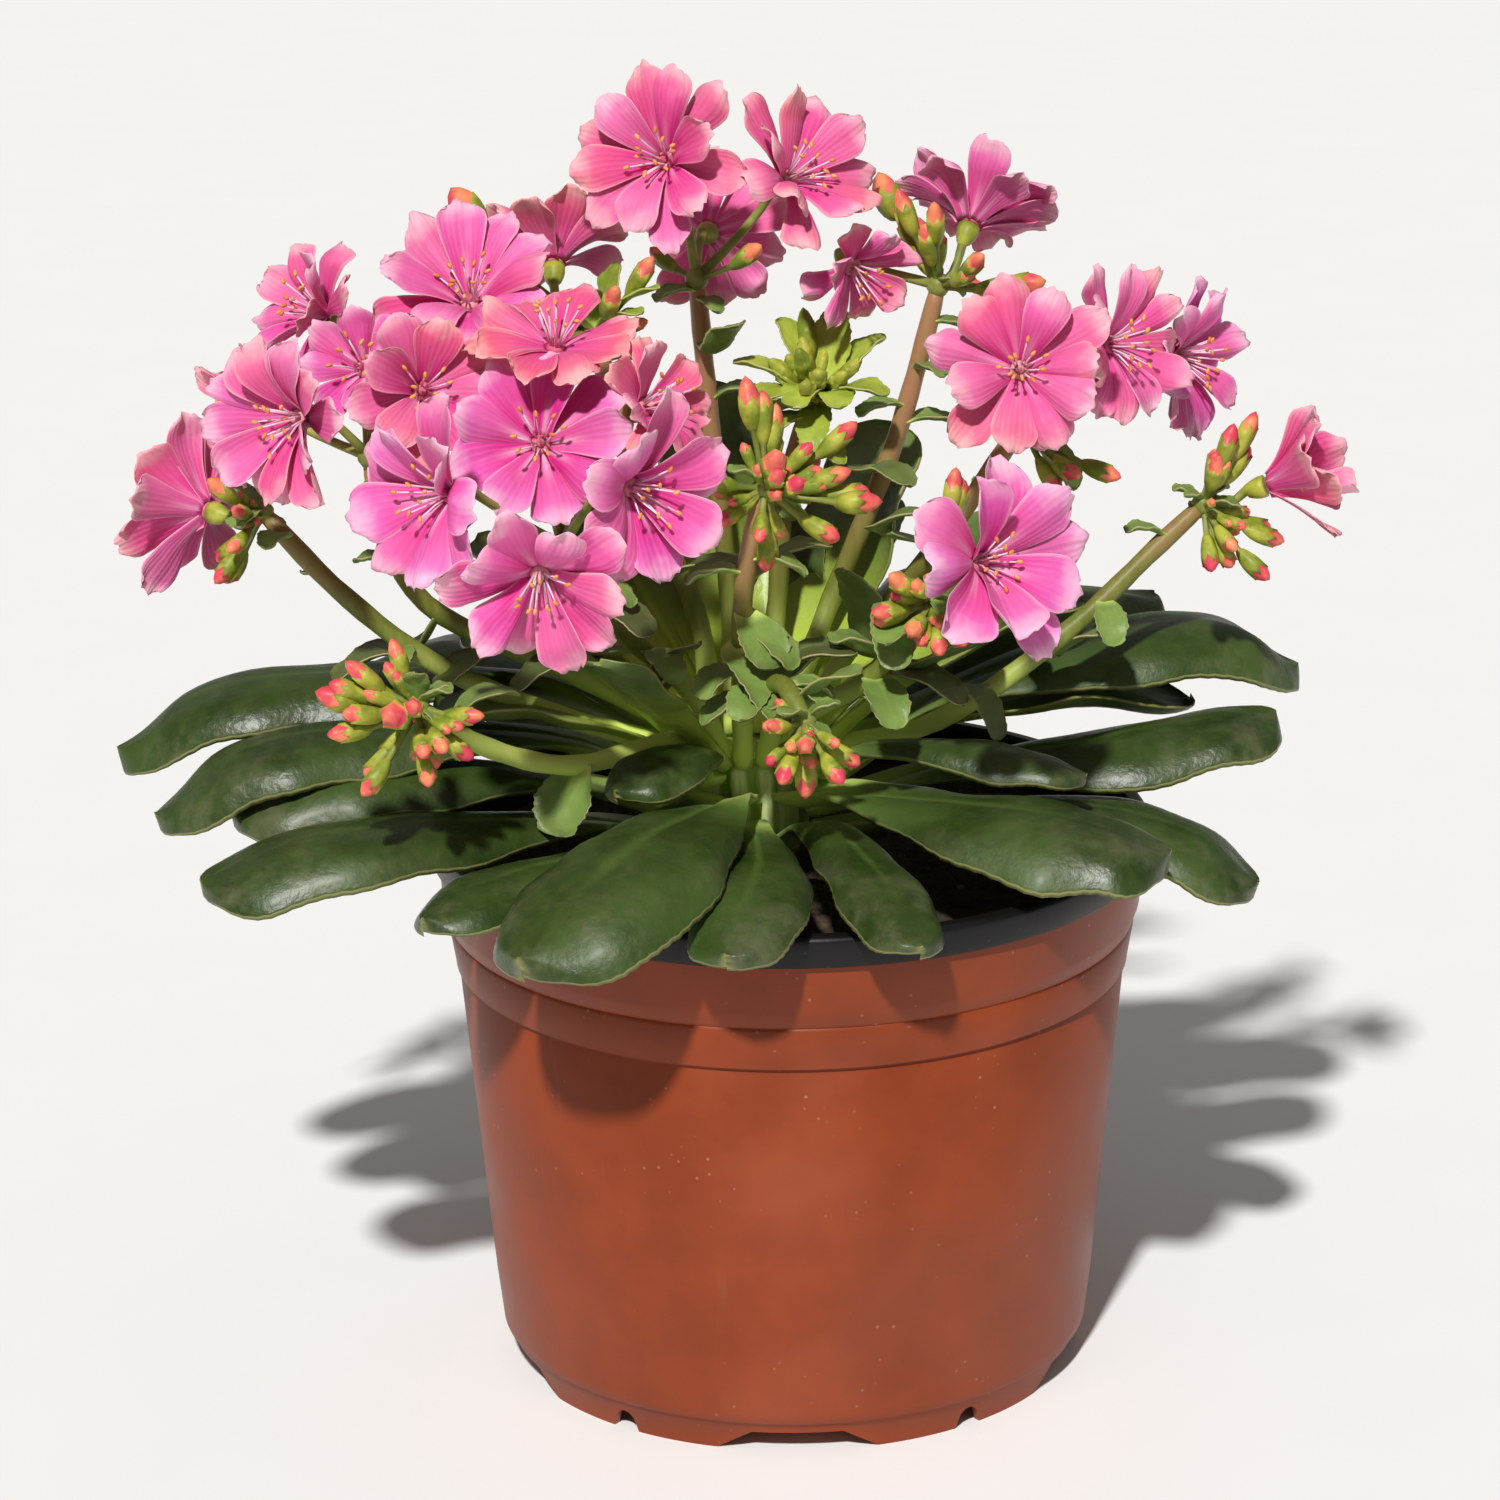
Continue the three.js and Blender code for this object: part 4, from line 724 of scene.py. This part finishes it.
class BuildPot(bpy.types.Operator):
    """Pot of terracotta plastic with a black lip, grooves, foot notches and drain holes"""

    bl_idname = "lewisia.build_pot"
    bl_label = "Build pot"

    def execute(self, context):
        settings = context.scene.lewisia_pot
        top, lip = settings.height / MM, settings.lip_radius / MM
        low = top - LIP_DEPTH
        foot = [
            (0, FLOOR_UNDERSIDE), (FOOT_RADIUS - WALL - 0.8, FLOOR_UNDERSIDE), (FOOT_RADIUS - WALL, 0),
            (FOOT_RADIUS, 0), (FOOT_RADIUS + FOOT_FLARE, FOOT_HEIGHT),
            (BASE_RADIUS - 0.7, FOOT_HEIGHT + 0.45), (BASE_RADIUS - 0.15, FOOT_HEIGHT + 1),
            (BASE_RADIUS, FOOT_HEIGHT + 2.4), (BASE_RADIUS + 0.9, FOOT_HEIGHT + 10),
        ]
        lower_groove = [
            (RING_RADIUS - 0.55, RING_HEIGHT - 1.1), (RING_RADIUS - 0.85, RING_HEIGHT - 0.7),
            (RING_RADIUS - 0.8, RING_HEIGHT - 0.3), (RING_RADIUS, RING_HEIGHT),
            (RING_RADIUS + 0.12, RING_HEIGHT + 1),
        ]
        upper_groove = [
            (RING_RADIUS + 1.08, BAND_BOTTOM - 3.2), (RING_RADIUS + 0.75, BAND_BOTTOM - 2.7),
            (RING_RADIUS + 1.15, BAND_BOTTOM - 2.2), (BAND_RADIUS - 0.8, BAND_BOTTOM - 0.3),
            (BAND_RADIUS - 0.5, BAND_BOTTOM + 0.4), (BAND_RADIUS, low - 0.02),
        ]
        black_lip = [
            (lip - 0.25, low), (lip, low + 0.3), (lip, top - LIP_EDGE), (lip - 0.25, top - 0.25),
            (lip - LIP_EDGE, top), (BAND_RADIUS - 1.1, top), (BAND_RADIUS - WALL - 0.15, top - 0.3),
            (BAND_RADIUS - WALL - 0.2, top - 1.2),
        ]
        inner_wall = [
            (BAND_RADIUS - 0.6 - WALL, BAND_BOTTOM + 0.4), (RING_RADIUS + 0.5 - WALL, BAND_BOTTOM - 2.6),
            (BASE_RADIUS + 0.3 - WALL, FOOT_HEIGHT + 4.5), (BASE_RADIUS - 1 - WALL, FLOOR_UNDERSIDE + WALL),
            (0, FLOOR_UNDERSIDE + WALL),
        ]
        bm = bmesh.new()
        lathe(bm, foot + lower_groove + upper_groove + black_lip + inner_wall, POT_STEPS)
        for vert in bm.verts:
            if vert.co.z < 0.01:
                angle = math.atan2(vert.co.x, -vert.co.y)
                rise = notch_height(angle)
                outward = Vector((vert.co.x, vert.co.y, 0)).normalized()
                vert.co += outward * (FOOT_FLARE * rise / FOOT_HEIGHT) + UP * rise
        for face in bm.faces:
            centre = face.calc_center_median()
            outward = Vector((centre.x, centre.y, 0))
            inner = face.normal.dot(outward) < 0 and centre.z > FOOT_HEIGHT
            face.material_index = 1 if inner or centre.z > low - 0.03 else 0
        for edge in bm.edges:
            if edge.calc_face_angle(0) > math.radians(SHARP_ANGLE):
                edge.smooth = False
        piece = finished(bm, "pot", [
            plastic("pot_outside", settings.outside, (0.5, 0.26, 0.18), 0.1, 0.42),
            plastic("pot_inside", settings.inside, (0.12, 0.11, 0.1), 0.05, 0.34),
        ])
        return self.drill(context, piece)

    @staticmethod
    def drill(context, piece):
        """Cuts the drain holes through the floor."""
        bm = bmesh.new()
        for k in range(DRAIN_COUNT):
            spot = direction(360 / DRAIN_COUNT * k, 0) * DRAIN_RING + UP * (FLOOR_UNDERSIDE + WALL / 2)
            bmesh.ops.create_cone(bm, cap_ends=True, segments=32, radius1=DRAIN_RADIUS, radius2=DRAIN_RADIUS,
                                  depth=DRILL_DEPTH, matrix=Matrix.Translation(spot))
        bmesh.ops.transform(bm, matrix=Matrix.Translation(POT_AXIS) @ Matrix.Scale(MM, 4), verts=bm.verts)
        drills = bpy.data.meshes.new("drain_drills")
        bm.to_mesh(drills)
        bm.free()
        tool = bpy.data.objects.new("drain_drills", drills)
        context.scene.collection.objects.link(tool)
        cut = piece.modifiers.new("drain", "BOOLEAN")
        cut.object = tool
        cut.operation = "DIFFERENCE"
        cut.solver = "EXACT"
        context.view_layer.update()
        drilled = bpy.data.meshes.new_from_object(piece.evaluated_get(context.evaluated_depsgraph_get()))
        piece.modifiers.clear()
        piece.data = drilled
        bpy.data.objects.remove(tool)
        return {"FINISHED"}


# Soil: what its underside and wall pass, its top, and the hole that the root stands in
SOIL_WALL = [(0, 5.5), (48.3, 5.5), (49.8, 9.8), (56.5, 79), (57.9, 82.6), (58, 86.4), (57.5, 87.2)]
SOIL_TOP, SOIL_EDGE, SOIL_RINGS, RING_STEP = 87.3, 56.5, 31, 1.5
HOLE_RIM, HOLE_BOTTOM = 86, 61
CLOD_HEIGHT, CRUMB_HEIGHT = 1.1, 0.7


class BuildSoil(bpy.types.Operator):
    """Potting soil with an uneven, crumbly top"""

    bl_idname = "lewisia.build_soil"
    bl_label = "Build soil"

    def execute(self, context):
        hole = CROWN["root"] + GAP
        rings = [(SOIL_EDGE - RING_STEP * k, SOIL_TOP) for k in range(SOIL_RINGS)]
        socket = [(hole, HOLE_RIM), (hole, HOLE_BOTTOM), (0, HOLE_BOTTOM)]
        bm = bmesh.new()
        lathe(bm, SOIL_WALL + rings + socket, SOIL_STEPS)
        for vert in bm.verts:
            radius = vert.co.xy.length
            if vert.co.z > HOLE_RIM - 1 and radius > hole + 0.5:
                inside = smooth(57, 50, radius) * smooth(hole, hole + 4, radius)
                clod = noise.noise(Vector((vert.co.x, vert.co.y, 0)) * 0.16)
                crumb = noise.noise(Vector((vert.co.x, vert.co.y, 3)) * 0.55)
                vert.co.z += inside * (CLOD_HEIGHT * clod + CRUMB_HEIGHT * crumb)
            vert.co.x += CROWN["x"] * smooth(20, 40, 60 - radius)
        finished(bm, "soil", [soil_material()])
        return {"FINISHED"}


def green_materials(context):
    """Materials of the leaves and of the bracts, in that order."""
    colours = context.scene.lewisia_foliage
    leaf = foliage("leaf", colours.leaf_dark, colours.leaf_light, (0.16, 0.26, 0.05), (0.2, 0.21, 0.07))
    shaded = tuple(0.6 * c for c in colours.bract)
    small = foliage("bract", shaded, colours.bract, (0.24, 0.34, 0.07), (0.36, 0.32, 0.14),
                    foot_end=0.25, roughness=0.42, coat=0.0, margin_start=0.86)
    return leaf, small


# Upright folds round the crown, left by the leaves that grew there
SCALLOPS, SCALLOP_DEPTH = 11, 0.085


class BuildCrown(bpy.types.Operator):
    """Pale heart of the rosette, partly lit with painted glow, with its root and its upright inner leaves"""

    bl_idname = "lewisia.build_crown"
    bl_label = "Build crown"

    def execute(self, context):
        radius, top, root = CROWN["radius"], CROWN["top"], CROWN["root"]
        profile = [
            (0, CROWN["root_bottom"]), (2.5, CROWN["root_bottom"] + 4), (root, 81), (root, 90.5),
            (radius - 0.6, 91.4), (radius, 92.4), (radius, 97), (radius, 101), (radius, 105),
            (radius - 0.3, 106.8), (radius - 1.6, top), (radius - 4, top), (0, top - 0.6),
        ]
        bm = bmesh.new()
        lathe(bm, profile, CROWN_STEPS)
        for vert in bm.verts:
            angle = math.atan2(vert.co.y, vert.co.x)
            scallop = 1 - SCALLOP_DEPTH * (1 + math.cos(SCALLOPS * angle + 0.1 * vert.co.z))
            vert.co.x *= scallop
            vert.co.y *= scallop
            vert.co.x += CROWN["x"]
        for width, through in INNER_LEAVES:
            blade(bm, Path(through), width, camber=-0.08, phase=width, material=1, rows=40)
        for width, through in HEART_LEAVES:
            blade(bm, Path(through), width, camber=-0.1, phase=2 * width, material=1, rows=36, thickness=1.6)
        colours = context.scene.lewisia_foliage
        # The crown's light colour is partly its own pale green and partly painted glow of light through the
        # heart
        pale = plain("crown", (0.3, 0.46, 0.07), (0.9, 0.97, 0.5), 420, 0.45,
                     height=0.6, subsurface=0.2, upright=0.07)
        # The inner leaves' lighter green and long pale foot are partly their own colour and partly painted
        # light and glow in the shaded middle
        inner = foliage("inner_leaf", colours.leaf_dark, (0.12, 0.185, 0.045), (0.52, 0.68, 0.07),
                        (0.24, 0.25, 0.07), foot_end=0.72)
        finished(bm, "crown", [pale, inner])
        return {"FINISHED"}


class BuildLeaves(bpy.types.Operator):
    """Fleshy rosette leaves"""

    bl_idname = "lewisia.build_leaves"
    bl_label = "Build leaves"

    def execute(self, context):
        leaf, _ = green_materials(context)
        thickness = context.scene.lewisia_foliage.leaf_thickness / MM
        for name, (azimuth, tier, width, through) in LEAVES.items():
            out = direction(azimuth, 0)
            root = Vector((CROWN["x"], 0, LEAF_TIERS[tier])) + out * LEAF_ROOT_RADIUS
            bm = bmesh.new()
            blade(bm, Path([root, root + out * 5 + UP * 1.5, *through]), width, thickness=thickness,
                  phase=math.radians(azimuth) * 3, droop=CLAWED.get(name, LEAF_DROOP))
            finished(bm, name, [leaf])
        return {"FINISHED"}


def facing(right, up):
    """Unit vector that a bloom faces."""
    return direction(right - 90, up)


# Buds about to open, by tip, and how much fuller than the rest they are
FULL_BUDS = {
    (-56, 14, 203): 1.7, (16, 28, 202): 1.6, (-76, -54, 136): 1.35, (-64, -63, 135): 1.5, (-7, -34, 182): 1.2,
    (-2, -48, 173): 1.35, (15, -38, 162): 1.2, (2, -51, 116): 1.2, (44, 14, 186): 1.3,
}
# A bud as (place, radius): its calyx ends at CALYX_END, and the rest is its petals
BUD_SHAPE = [(0.05, 0.85), (0.18, 1.28), (0.32, 1.52), (0.46, 1.6), (0.57, 1.56), (0.575, 1.4), (0.75, 1.24),
             (0.9, 0.74)]
CALYX_END = 0.57
# Share of a bud that its petals take up, and how far young buds stray from the line to an older one
SHOWN, SHOWN_FULL, SHOWN_YOUNG, YOUNG_SCATTER = 0.35, 0.42, 0.25, 3.2
# Buds have this length from this far from their head on, and nearer ones are smaller
BUD_LENGTH, FULL_REACH = 8, 13
# Bud heads have more buds than FEW_BUDS, and get young buds and small bracts as well
FEW_BUDS, HEAD_BRACTS = 4, 6
# The only head whose buds and leaves are all young and green
GREEN_STEM = "stem_13"
STEM_RADIUS, STEM_TAPER, STEM_END, STEM_ROWS = 1.8, 0.12, 1.2, 26
KNOB_SIZE = 2.1
KNOB_SHAPE = [(-1, 0), (-0.8, 0.6), (-0.3, 0.95), (0.3, 0.95), (0.8, 0.6), (1, 0)]
PEDICEL_RADII = [0.95, 0.8, 0.75, 0.75, 0.85, 1.25, 1.7, 1.95, 1.95, 1.6]
STEM_SKIN, PEDICEL, SEPAL, BUD_TIP, BRACT, YOUNG_BRACT = range(6)


def turned(bm, middle, way, shape, size, sides, material):
    """Round body about a line through a point, by (place on the line, radius) pairs."""
    tube(bm, [middle + way * (size * place) for place, _ in shape], [size * radius for _, radius in shape],
         sides=sides, material=material)


def bud(bm, head, tip, shown, girth=1.0, skin=BUD_TIP):
    """Bud on its pedicel: a ribbed calyx with five points round petals that have their own skin."""
    way = (tip - head).normalized()
    far = (tip - head).length
    size = min(1.0, far / FULL_REACH)
    start = max(0.5, far - BUD_LENGTH * size)
    shape = [(0, 0.75), (0.5 * start, 0.5), (start, 0.55)]
    for place, radius in BUD_SHAPE:
        calyx = min(place, CALYX_END) / CALYX_END
        petals = max(0, place - CALYX_END) / (1 - CALYX_END)
        share = calyx * (1 - shown) + petals * shown
        shape.append((start + share * (far - start), radius * size * girth))
    shape.append((far, 0))
    centres = [head + way * place - UP * (0.06 * far * math.sin(math.pi * place / far)) for place, _ in shape]
    sepal_tips = 0.1 * (far - start)
    tube(bm, centres, [radius for _, radius in shape], sides=10,
         bands=[PEDICEL] * 3 + [SEPAL] * 5 + [skin] * 3, flute=0.08, teeth={7: sepal_tips, 8: sepal_tips})


class BuildStems(bpy.types.Operator):
    """Leafy flower stems with their bracts, pedicels, calyces and buds"""

    bl_idname = "lewisia.build_stems"
    bl_label = "Build stems"

    def execute(self, context):
        colours = context.scene.lewisia_foliage
        _, small = green_materials(context)
        materials = [
            stem_material(colours),
            plain("pedicel", (0.17, 0.2, 0.04), (0.32, 0.34, 0.08), 150, 0.45, subsurface=0.05),
            plain("sepal", (0.17, 0.23, 0.02), (0.44, 0.44, 0.06), 240, 0.45, height=0.5, subsurface=0.05),
            plain("bud_tip", (0.66, 0.055, 0.1), (0.84, 0.27, 0.12), 210, 0.4, subsurface=0.1),
            small,
            foliage("young_bract", (0.2, 0.29, 0.02), (0.46, 0.54, 0.07), (0.55, 0.66, 0.14),
                    (0.45, 0.45, 0.14), foot_end=0.3, roughness=0.45, coat=0.0, margin_start=0.9),
        ]
        for name, (azimuth, ring, through, head, blooms, buds, bracts) in STEMS.items():
            draw = random.Random(name)
            head = Vector(head)
            foot = Vector((CROWN["x"], 0, CROWN["top"] + GAP)) + direction(azimuth, 0) * ring
            path = Path([foot, *through, head])
            bm = bmesh.new()
            bm.verts.layers.float.new("shade")
            centres = [path.point(k / STEM_ROWS) for k in range(STEM_ROWS + 1)]
            radii = [STEM_RADIUS * (1 - STEM_TAPER * k / STEM_ROWS) * (1 + 0.05 * math.sin(1.7 * k))
                     for k in range(STEM_ROWS)]
            tube(bm, centres, [*radii, STEM_END], sides=12, material=STEM_SKIN)
            turned(bm, head, UP, KNOB_SHAPE, KNOB_SIZE, 12, PEDICEL)
            leaf, skin = (YOUNG_BRACT, SEPAL) if name == GREEN_STEM else (BRACT, BUD_TIP)
            for share, turn, pitch, length in bracts:
                self.bract(bm, path.point(share), turn, pitch, length, draw, leaf)
            for index in blooms:
                self.pedicel(bm, head, *BLOOMS[f"bloom_{index:02d}"][:2])
            for tip in buds:
                shown = SHOWN_FULL if tip in FULL_BUDS else SHOWN
                bud(bm, head, Vector(tip), shown, FULL_BUDS.get(tip, 1.0), skin)
            if len(buds) > FEW_BUDS:
                self.young_buds(bm, head, buds, draw, skin)
                for _ in range(HEAD_BRACTS):
                    turn, pitch, length = draw.uniform(0, 360), draw.uniform(-20, 70), draw.uniform(4.5, 7.5)
                    self.bract(bm, head, turn, pitch, length, draw, leaf)
            for base, tip, width, tone in LEAFLETS.get(name, ()):
                self.leaflet(bm, path, Vector(base), Vector(tip), width, tone, draw)
            finished(bm, name, materials)
        return {"FINISHED"}

    @staticmethod
    def young_buds(bm, head, buds, draw, skin):
        """Crowded small buds among the larger ones."""
        for tip in buds:
            for share in (0.5, 0.8):
                aside = Vector([draw.uniform(-1, 1) for _ in range(3)]) * YOUNG_SCATTER
                young = head.lerp(Vector(tip), share * draw.uniform(0.8, 1)) + aside
                bud(bm, head, young, SHOWN_YOUNG, skin=skin)

    @staticmethod
    def bract(bm, base, azimuth, pitch, length, draw, material):
        """Small clasping leaf."""
        points = [base.copy()]
        for t in (0.25, 0.5, 0.75, 1.0):
            points.append(base + direction(azimuth, pitch - 35 * t) * (t * length))
        blade(bm, Path(points), 0.56 * length, outline=BRACT_OUTLINE, thickness=0.9, camber=-0.12, wave=0.25,
              phase=draw.uniform(0, 6), teeth=0.035, rows=18, columns=8, material=material)

    @staticmethod
    def leaflet(bm, path, base, tip, width, tone, draw):
        """Leaf of a flower stem that reaches from the stem through a base to its tip."""
        root = min(path.samples, key=lambda sample: (sample - base).length)
        points = [root] + ([base] if (root - base).length > 2 else [])
        points += [points[-1].lerp(tip, 0.5) + UP * (0.12 * (tip - points[-1]).length), tip]
        verts = blade(bm, Path(points), width, outline=BRACT_OUTLINE, thickness=0.9, camber=-0.08, wave=0.25,
                      phase=draw.uniform(0, 6), teeth=0.03, rows=24, columns=10,
                      material=BRACT if tone >= 0 else YOUNG_BRACT)
        # The shade attribute mixes in brown that is partly real browning and partly painted shade
        shade = bm.verts.layers.float["shade"]
        for vert in verts:
            vert[shade] = max(0, tone)

    @staticmethod
    def pedicel(bm, head, centre, way):
        """Stalk that swings behind its bloom and widens into the calyx."""
        axis = facing(*way)
        mouth = Vector(centre) - axis * (CUP_DEPTH + GAP)
        neck = mouth - axis * CALYX_DEPTH
        swing = neck - axis * 4 + Vector((0, 0, -3))
        curve = [head * (1 - u) ** 2 + swing * (2 * u * (1 - u)) + neck * u * u
                 for u in (0, 0.25, 0.5, 0.75, 1)]
        calyx = [neck + axis * 0.5, mouth - axis * 2.2, mouth - axis * 1.2, mouth - axis * 0.1, mouth]
        tube(bm, curve + calyx, PEDICEL_RADII, sides=10, bands=[PEDICEL] * 4 + [SEPAL] * 5)


# Share of a petal's full width at places along it
PETAL_OUTLINE = [(0, 0.34), (0.15, 0.42), (0.3, 0.56), (0.45, 0.74), (0.6, 0.9), (0.75, 1), (1, 1)]
# Parts of a bloom's heart as (place along the part, radius)
CUP_SHAPE = [(-0.9, 1.3), (-0.7, 1.6), (0, 1.6), (0.4, 1.1), (0.5, 0)]
STYLE_SHAPE = [(0.2, 0.6), (0.8, 0.8), (1.4, 0.6), (1.8, 0.2), (4.8, 0.12)]
ANTHER_SHAPE = [(-0.7, 0), (-0.4, 0.28), (0, 0.36), (0.4, 0.28), (0.7, 0)]
FILAMENT_RADII = [0.22, 0.17, 0.13]
PETAL, FILAMENT, ANTHER, OVARY = range(4)


class BuildBlooms(bpy.types.Operator):
    """Open blooms: two whorls of notched petals round a cup with stamens"""

    bl_idname = "lewisia.build_blooms"
    bl_label = "Build blooms"

    def execute(self, context):
        colours = context.scene.lewisia_blooms
        skin = 0.5 * colours.petal_thickness / MM
        materials = [
            petal_material(colours),
            plain("filament", (0.78, 0.45, 0.6), (0.88, 0.72, 0.8), 200, 0.5, subsurface=0.1),
            plain("anther", (0.62, 0.2, 0.05), (0.82, 0.4, 0.14), 400, 0.6),
            plain("ovary", (0.62, 0.1, 0.2), (0.75, 0.35, 0.35), 200, 0.5),
        ]
        for name, (centre, way, petals, reach, flare, salmon) in BLOOMS.items():
            draw = random.Random(name)
            bm = bmesh.new()
            bm.verts.layers.float.new("salmon")
            bm.verts.layers.float.new("tone")
            for k in range(petals):
                self.petal(bm, k, petals, reach, flare, salmon, skin, draw)
            self.heart(bm, petals, draw)
            turn = UP.rotation_difference(facing(*way)).to_matrix().to_4x4()
            bmesh.ops.transform(bm, matrix=Matrix.Translation(centre) @ turn, verts=bm.verts)
            finished(bm, name, materials)
        return {"FINISHED"}

    @staticmethod
    def petal(bm, k, petals, reach, flare, salmon, skin, draw):
        """One petal with its claw, waved blade and notched tip."""
        warm_layer, tone_layer = (bm.verts.layers.float[name] for name in ("salmon", "tone"))
        angle = 2 * math.pi * k / petals + draw.uniform(-0.06, 0.06)
        tilt = (-9 if k % 2 else 9) + draw.uniform(-9, 9)
        start, end = (math.radians(pitch + tilt) for pitch in flare)
        length = reach * draw.uniform(1.0, 1.1)
        warm = min(1.0, max(0.0, salmon + draw.uniform(-0.25, 0.25)))
        tone = draw.uniform(0.0, 0.14)
        camber, twist = draw.uniform(-0.38, 0.28), math.radians(draw.uniform(-20, 20))
        phases = [draw.uniform(0, 2 * math.pi) for _ in range(4)]
        notch = draw.uniform(0.0, 0.03)
        curl = draw.uniform(-2.4, 1.8)

        def along_petal(t):
            pitch = mix(start, end, t)
            bend = end - start
            radius = CUP_RADIUS + length * (math.sin(pitch) - math.sin(start)) / bend
            height = -0.5 * CUP_DEPTH - length * (math.cos(pitch) - math.cos(start)) / bend
            return pitch, radius, height

        width = reach * draw.uniform(0.62, 0.74) * (8 / petals) ** 0.7
        for vert, across, t, side in sheet_grid(bm, 12, 16, PETAL):
            s = math.sin(across * math.pi / 2)
            trim = t**5 * (notch * math.exp(-((s / 0.24) ** 2)) + 0.11 * s * s)
            trim += t**8 * (0.012 * math.sin(8 * s + phases[2]) + 0.012 * math.sin(19 * s + phases[3]))
            pitch, radius, height = along_petal(t - trim)
            share = reading(PETAL_OUTLINE, t) * math.sqrt(1 - (max(0.0, t - 0.72) / 0.35) ** 2)
            lift = t * t * (0.6 * math.sin(3.2 * s + phases[0]) + 0.3 * math.sin(6.5 * s + phases[1] + 2 * t))
            lift += camber * s * s * width * share - 0.35 * math.exp(-((s / 0.2) ** 2)) * t * (1.2 - t)
            lift += 0.05 * t * math.sin(22 * s + phases[3]) + curl * smooth(0.6, 1, t)
            lift += math.sin(twist * t) * s * 0.5 * width * share
            depth = side * skin * (1 - 0.8 * max(abs(s) ** 6, t**10))
            out = radius - (lift + depth) * math.sin(pitch)
            offset = s * 0.5 * width * share
            vert.co = (out * math.cos(angle) - offset * math.sin(angle),
                       out * math.sin(angle) + offset * math.cos(angle),
                       height + (lift + depth) * math.cos(pitch))
            vert[warm_layer] = warm
            vert[tone_layer] = tone

    @staticmethod
    def heart(bm, petals, draw):
        """Cup, ovary, stamens and style."""
        turned(bm, Vector(), UP, CUP_SHAPE, 1, 12, OVARY)
        turned(bm, Vector(), UP, STYLE_SHAPE, 1, 8, OVARY)
        for k in range(petals):
            angle = 2 * math.pi * (k + 0.4) / petals + draw.uniform(-0.2, 0.2)
            out = Quaternion(UP, angle) @ Vector((1, 0, 0))
            spread, height = draw.uniform(1.6, 5.2), draw.uniform(5.2, 7.8)
            centres = [out * 0.8, out * (0.8 + 0.3 * spread) + UP * 0.45 * height, out * spread + UP * height]
            tube(bm, centres, FILAMENT_RADII, sides=5, material=FILAMENT)
            turned(bm, centres[-1], (out + UP * 0.3).normalized(), ANTHER_SHAPE, 1, 6, ANTHER)


class BuildStage(bpy.types.Operator):
    """Pale floor, soft light and the camera"""

    bl_idname = "lewisia.build_stage"
    bl_label = "Build stage"

    def execute(self, context):
        scene = context.scene
        settings = scene.lewisia_stage
        bm = bmesh.new()
        bmesh.ops.create_grid(bm, x_segments=1, y_segments=1, size=FLOOR_HALF)
        mesh = bpy.data.meshes.new("floor")
        bm.to_mesh(mesh)
        bm.free()
        shader = Shader("floor")
        grain = shader.ramp(shader.noise(30, 2), 0.3, 0.7)
        paler = tuple(min(1, 1.01 * c) for c in settings.floor)
        shader.set(Base_Color=shader.blend(grain, settings.floor, paler), Roughness=0.8,
                   Specular_IOR_Level=0.2)
        mesh.materials.append(shader.material)
        floor = bpy.data.objects.new("floor", mesh)
        scene.collection.objects.link(floor)

        world = bpy.data.worlds.new("pale_room")
        world.use_nodes = True
        room = world.node_tree.nodes["Background"].inputs
        room["Color"].default_value = ROOM_COLOUR
        room["Strength"].default_value = settings.fill_strength
        scene.world = world
        scene.view_settings.view_transform = "Standard"

        key = bpy.data.lights.new("key", "SUN")
        key.energy = settings.key_strength
        key.angle = math.radians(SUN_WIDTH)
        key.color = SUN_COLOUR
        lamp = bpy.data.objects.new("key", key)
        lamp.rotation_mode = "QUATERNION"
        lamp.rotation_quaternion = direction(SUN_AZIMUTH, SUN_RISE).to_track_quat("Z", "Y")
        scene.collection.objects.link(lamp)

        camera = bpy.data.cameras.new("camera")
        camera.sensor_width = SENSOR_WIDTH
        camera.lens = LENS
        camera.clip_start, camera.clip_end = CLIP_START, CLIP_END
        viewer = bpy.data.objects.new("camera", camera)
        back = direction(-90, CAMERA_RISE)
        viewer.location = POT_AXIS + (Vector(CAMERA_TARGET) + back * CAMERA_DISTANCE) * MM
        viewer.rotation_mode = "QUATERNION"
        viewer.rotation_quaternion = back.to_track_quat("Z", "Y") @ Quaternion(UP, math.radians(CAMERA_ROLL))
        scene.collection.objects.link(viewer)
        scene.camera = viewer
        return {"FINISHED"}


BUILDERS = (BuildPot, BuildSoil, BuildCrown, BuildLeaves, BuildStems, BuildBlooms, BuildStage)


class LewisiaPanel(bpy.types.Panel):
    """Lists the builders and their settings"""

    bl_idname = "VIEW3D_PT_lewisia"
    bl_label = "Potted lewisia"
    bl_space_type = "VIEW_3D"
    bl_region_type = "UI"
    bl_category = "Lewisia"

    def draw(self, context):
        scene = context.scene
        for group in (scene.lewisia_pot, scene.lewisia_foliage, scene.lewisia_blooms, scene.lewisia_stage):
            box = self.layout.box()
            for name in group.__annotations__:
                box.prop(group, name)
        for builder in BUILDERS:
            self.layout.operator(builder.bl_idname)


GROUPS = {
    "lewisia_pot": PotSettings,
    "lewisia_foliage": FoliageSettings,
    "lewisia_blooms": BloomSettings,
    "lewisia_stage": StageSettings,
}


def register():
    """Adds the settings, builders and panel."""
    for kind in (*GROUPS.values(), *BUILDERS, LewisiaPanel):
        bpy.utils.register_class(kind)
    for name, group in GROUPS.items():
        setattr(bpy.types.Scene, name, bpy.props.PointerProperty(type=group))


def unregister():
    """Takes them away again."""
    for name in GROUPS:
        delattr(bpy.types.Scene, name)
    for kind in reversed((*GROUPS.values(), *BUILDERS, LewisiaPanel)):
        bpy.utils.unregister_class(kind)


def main():
    """Builds every piece in order."""
    register()
    for builder in BUILDERS:
        getattr(bpy.ops.lewisia, builder.bl_idname.split(".")[1])()
    bpy.context.view_layer.update()


if __name__ == "__main__":
    main()
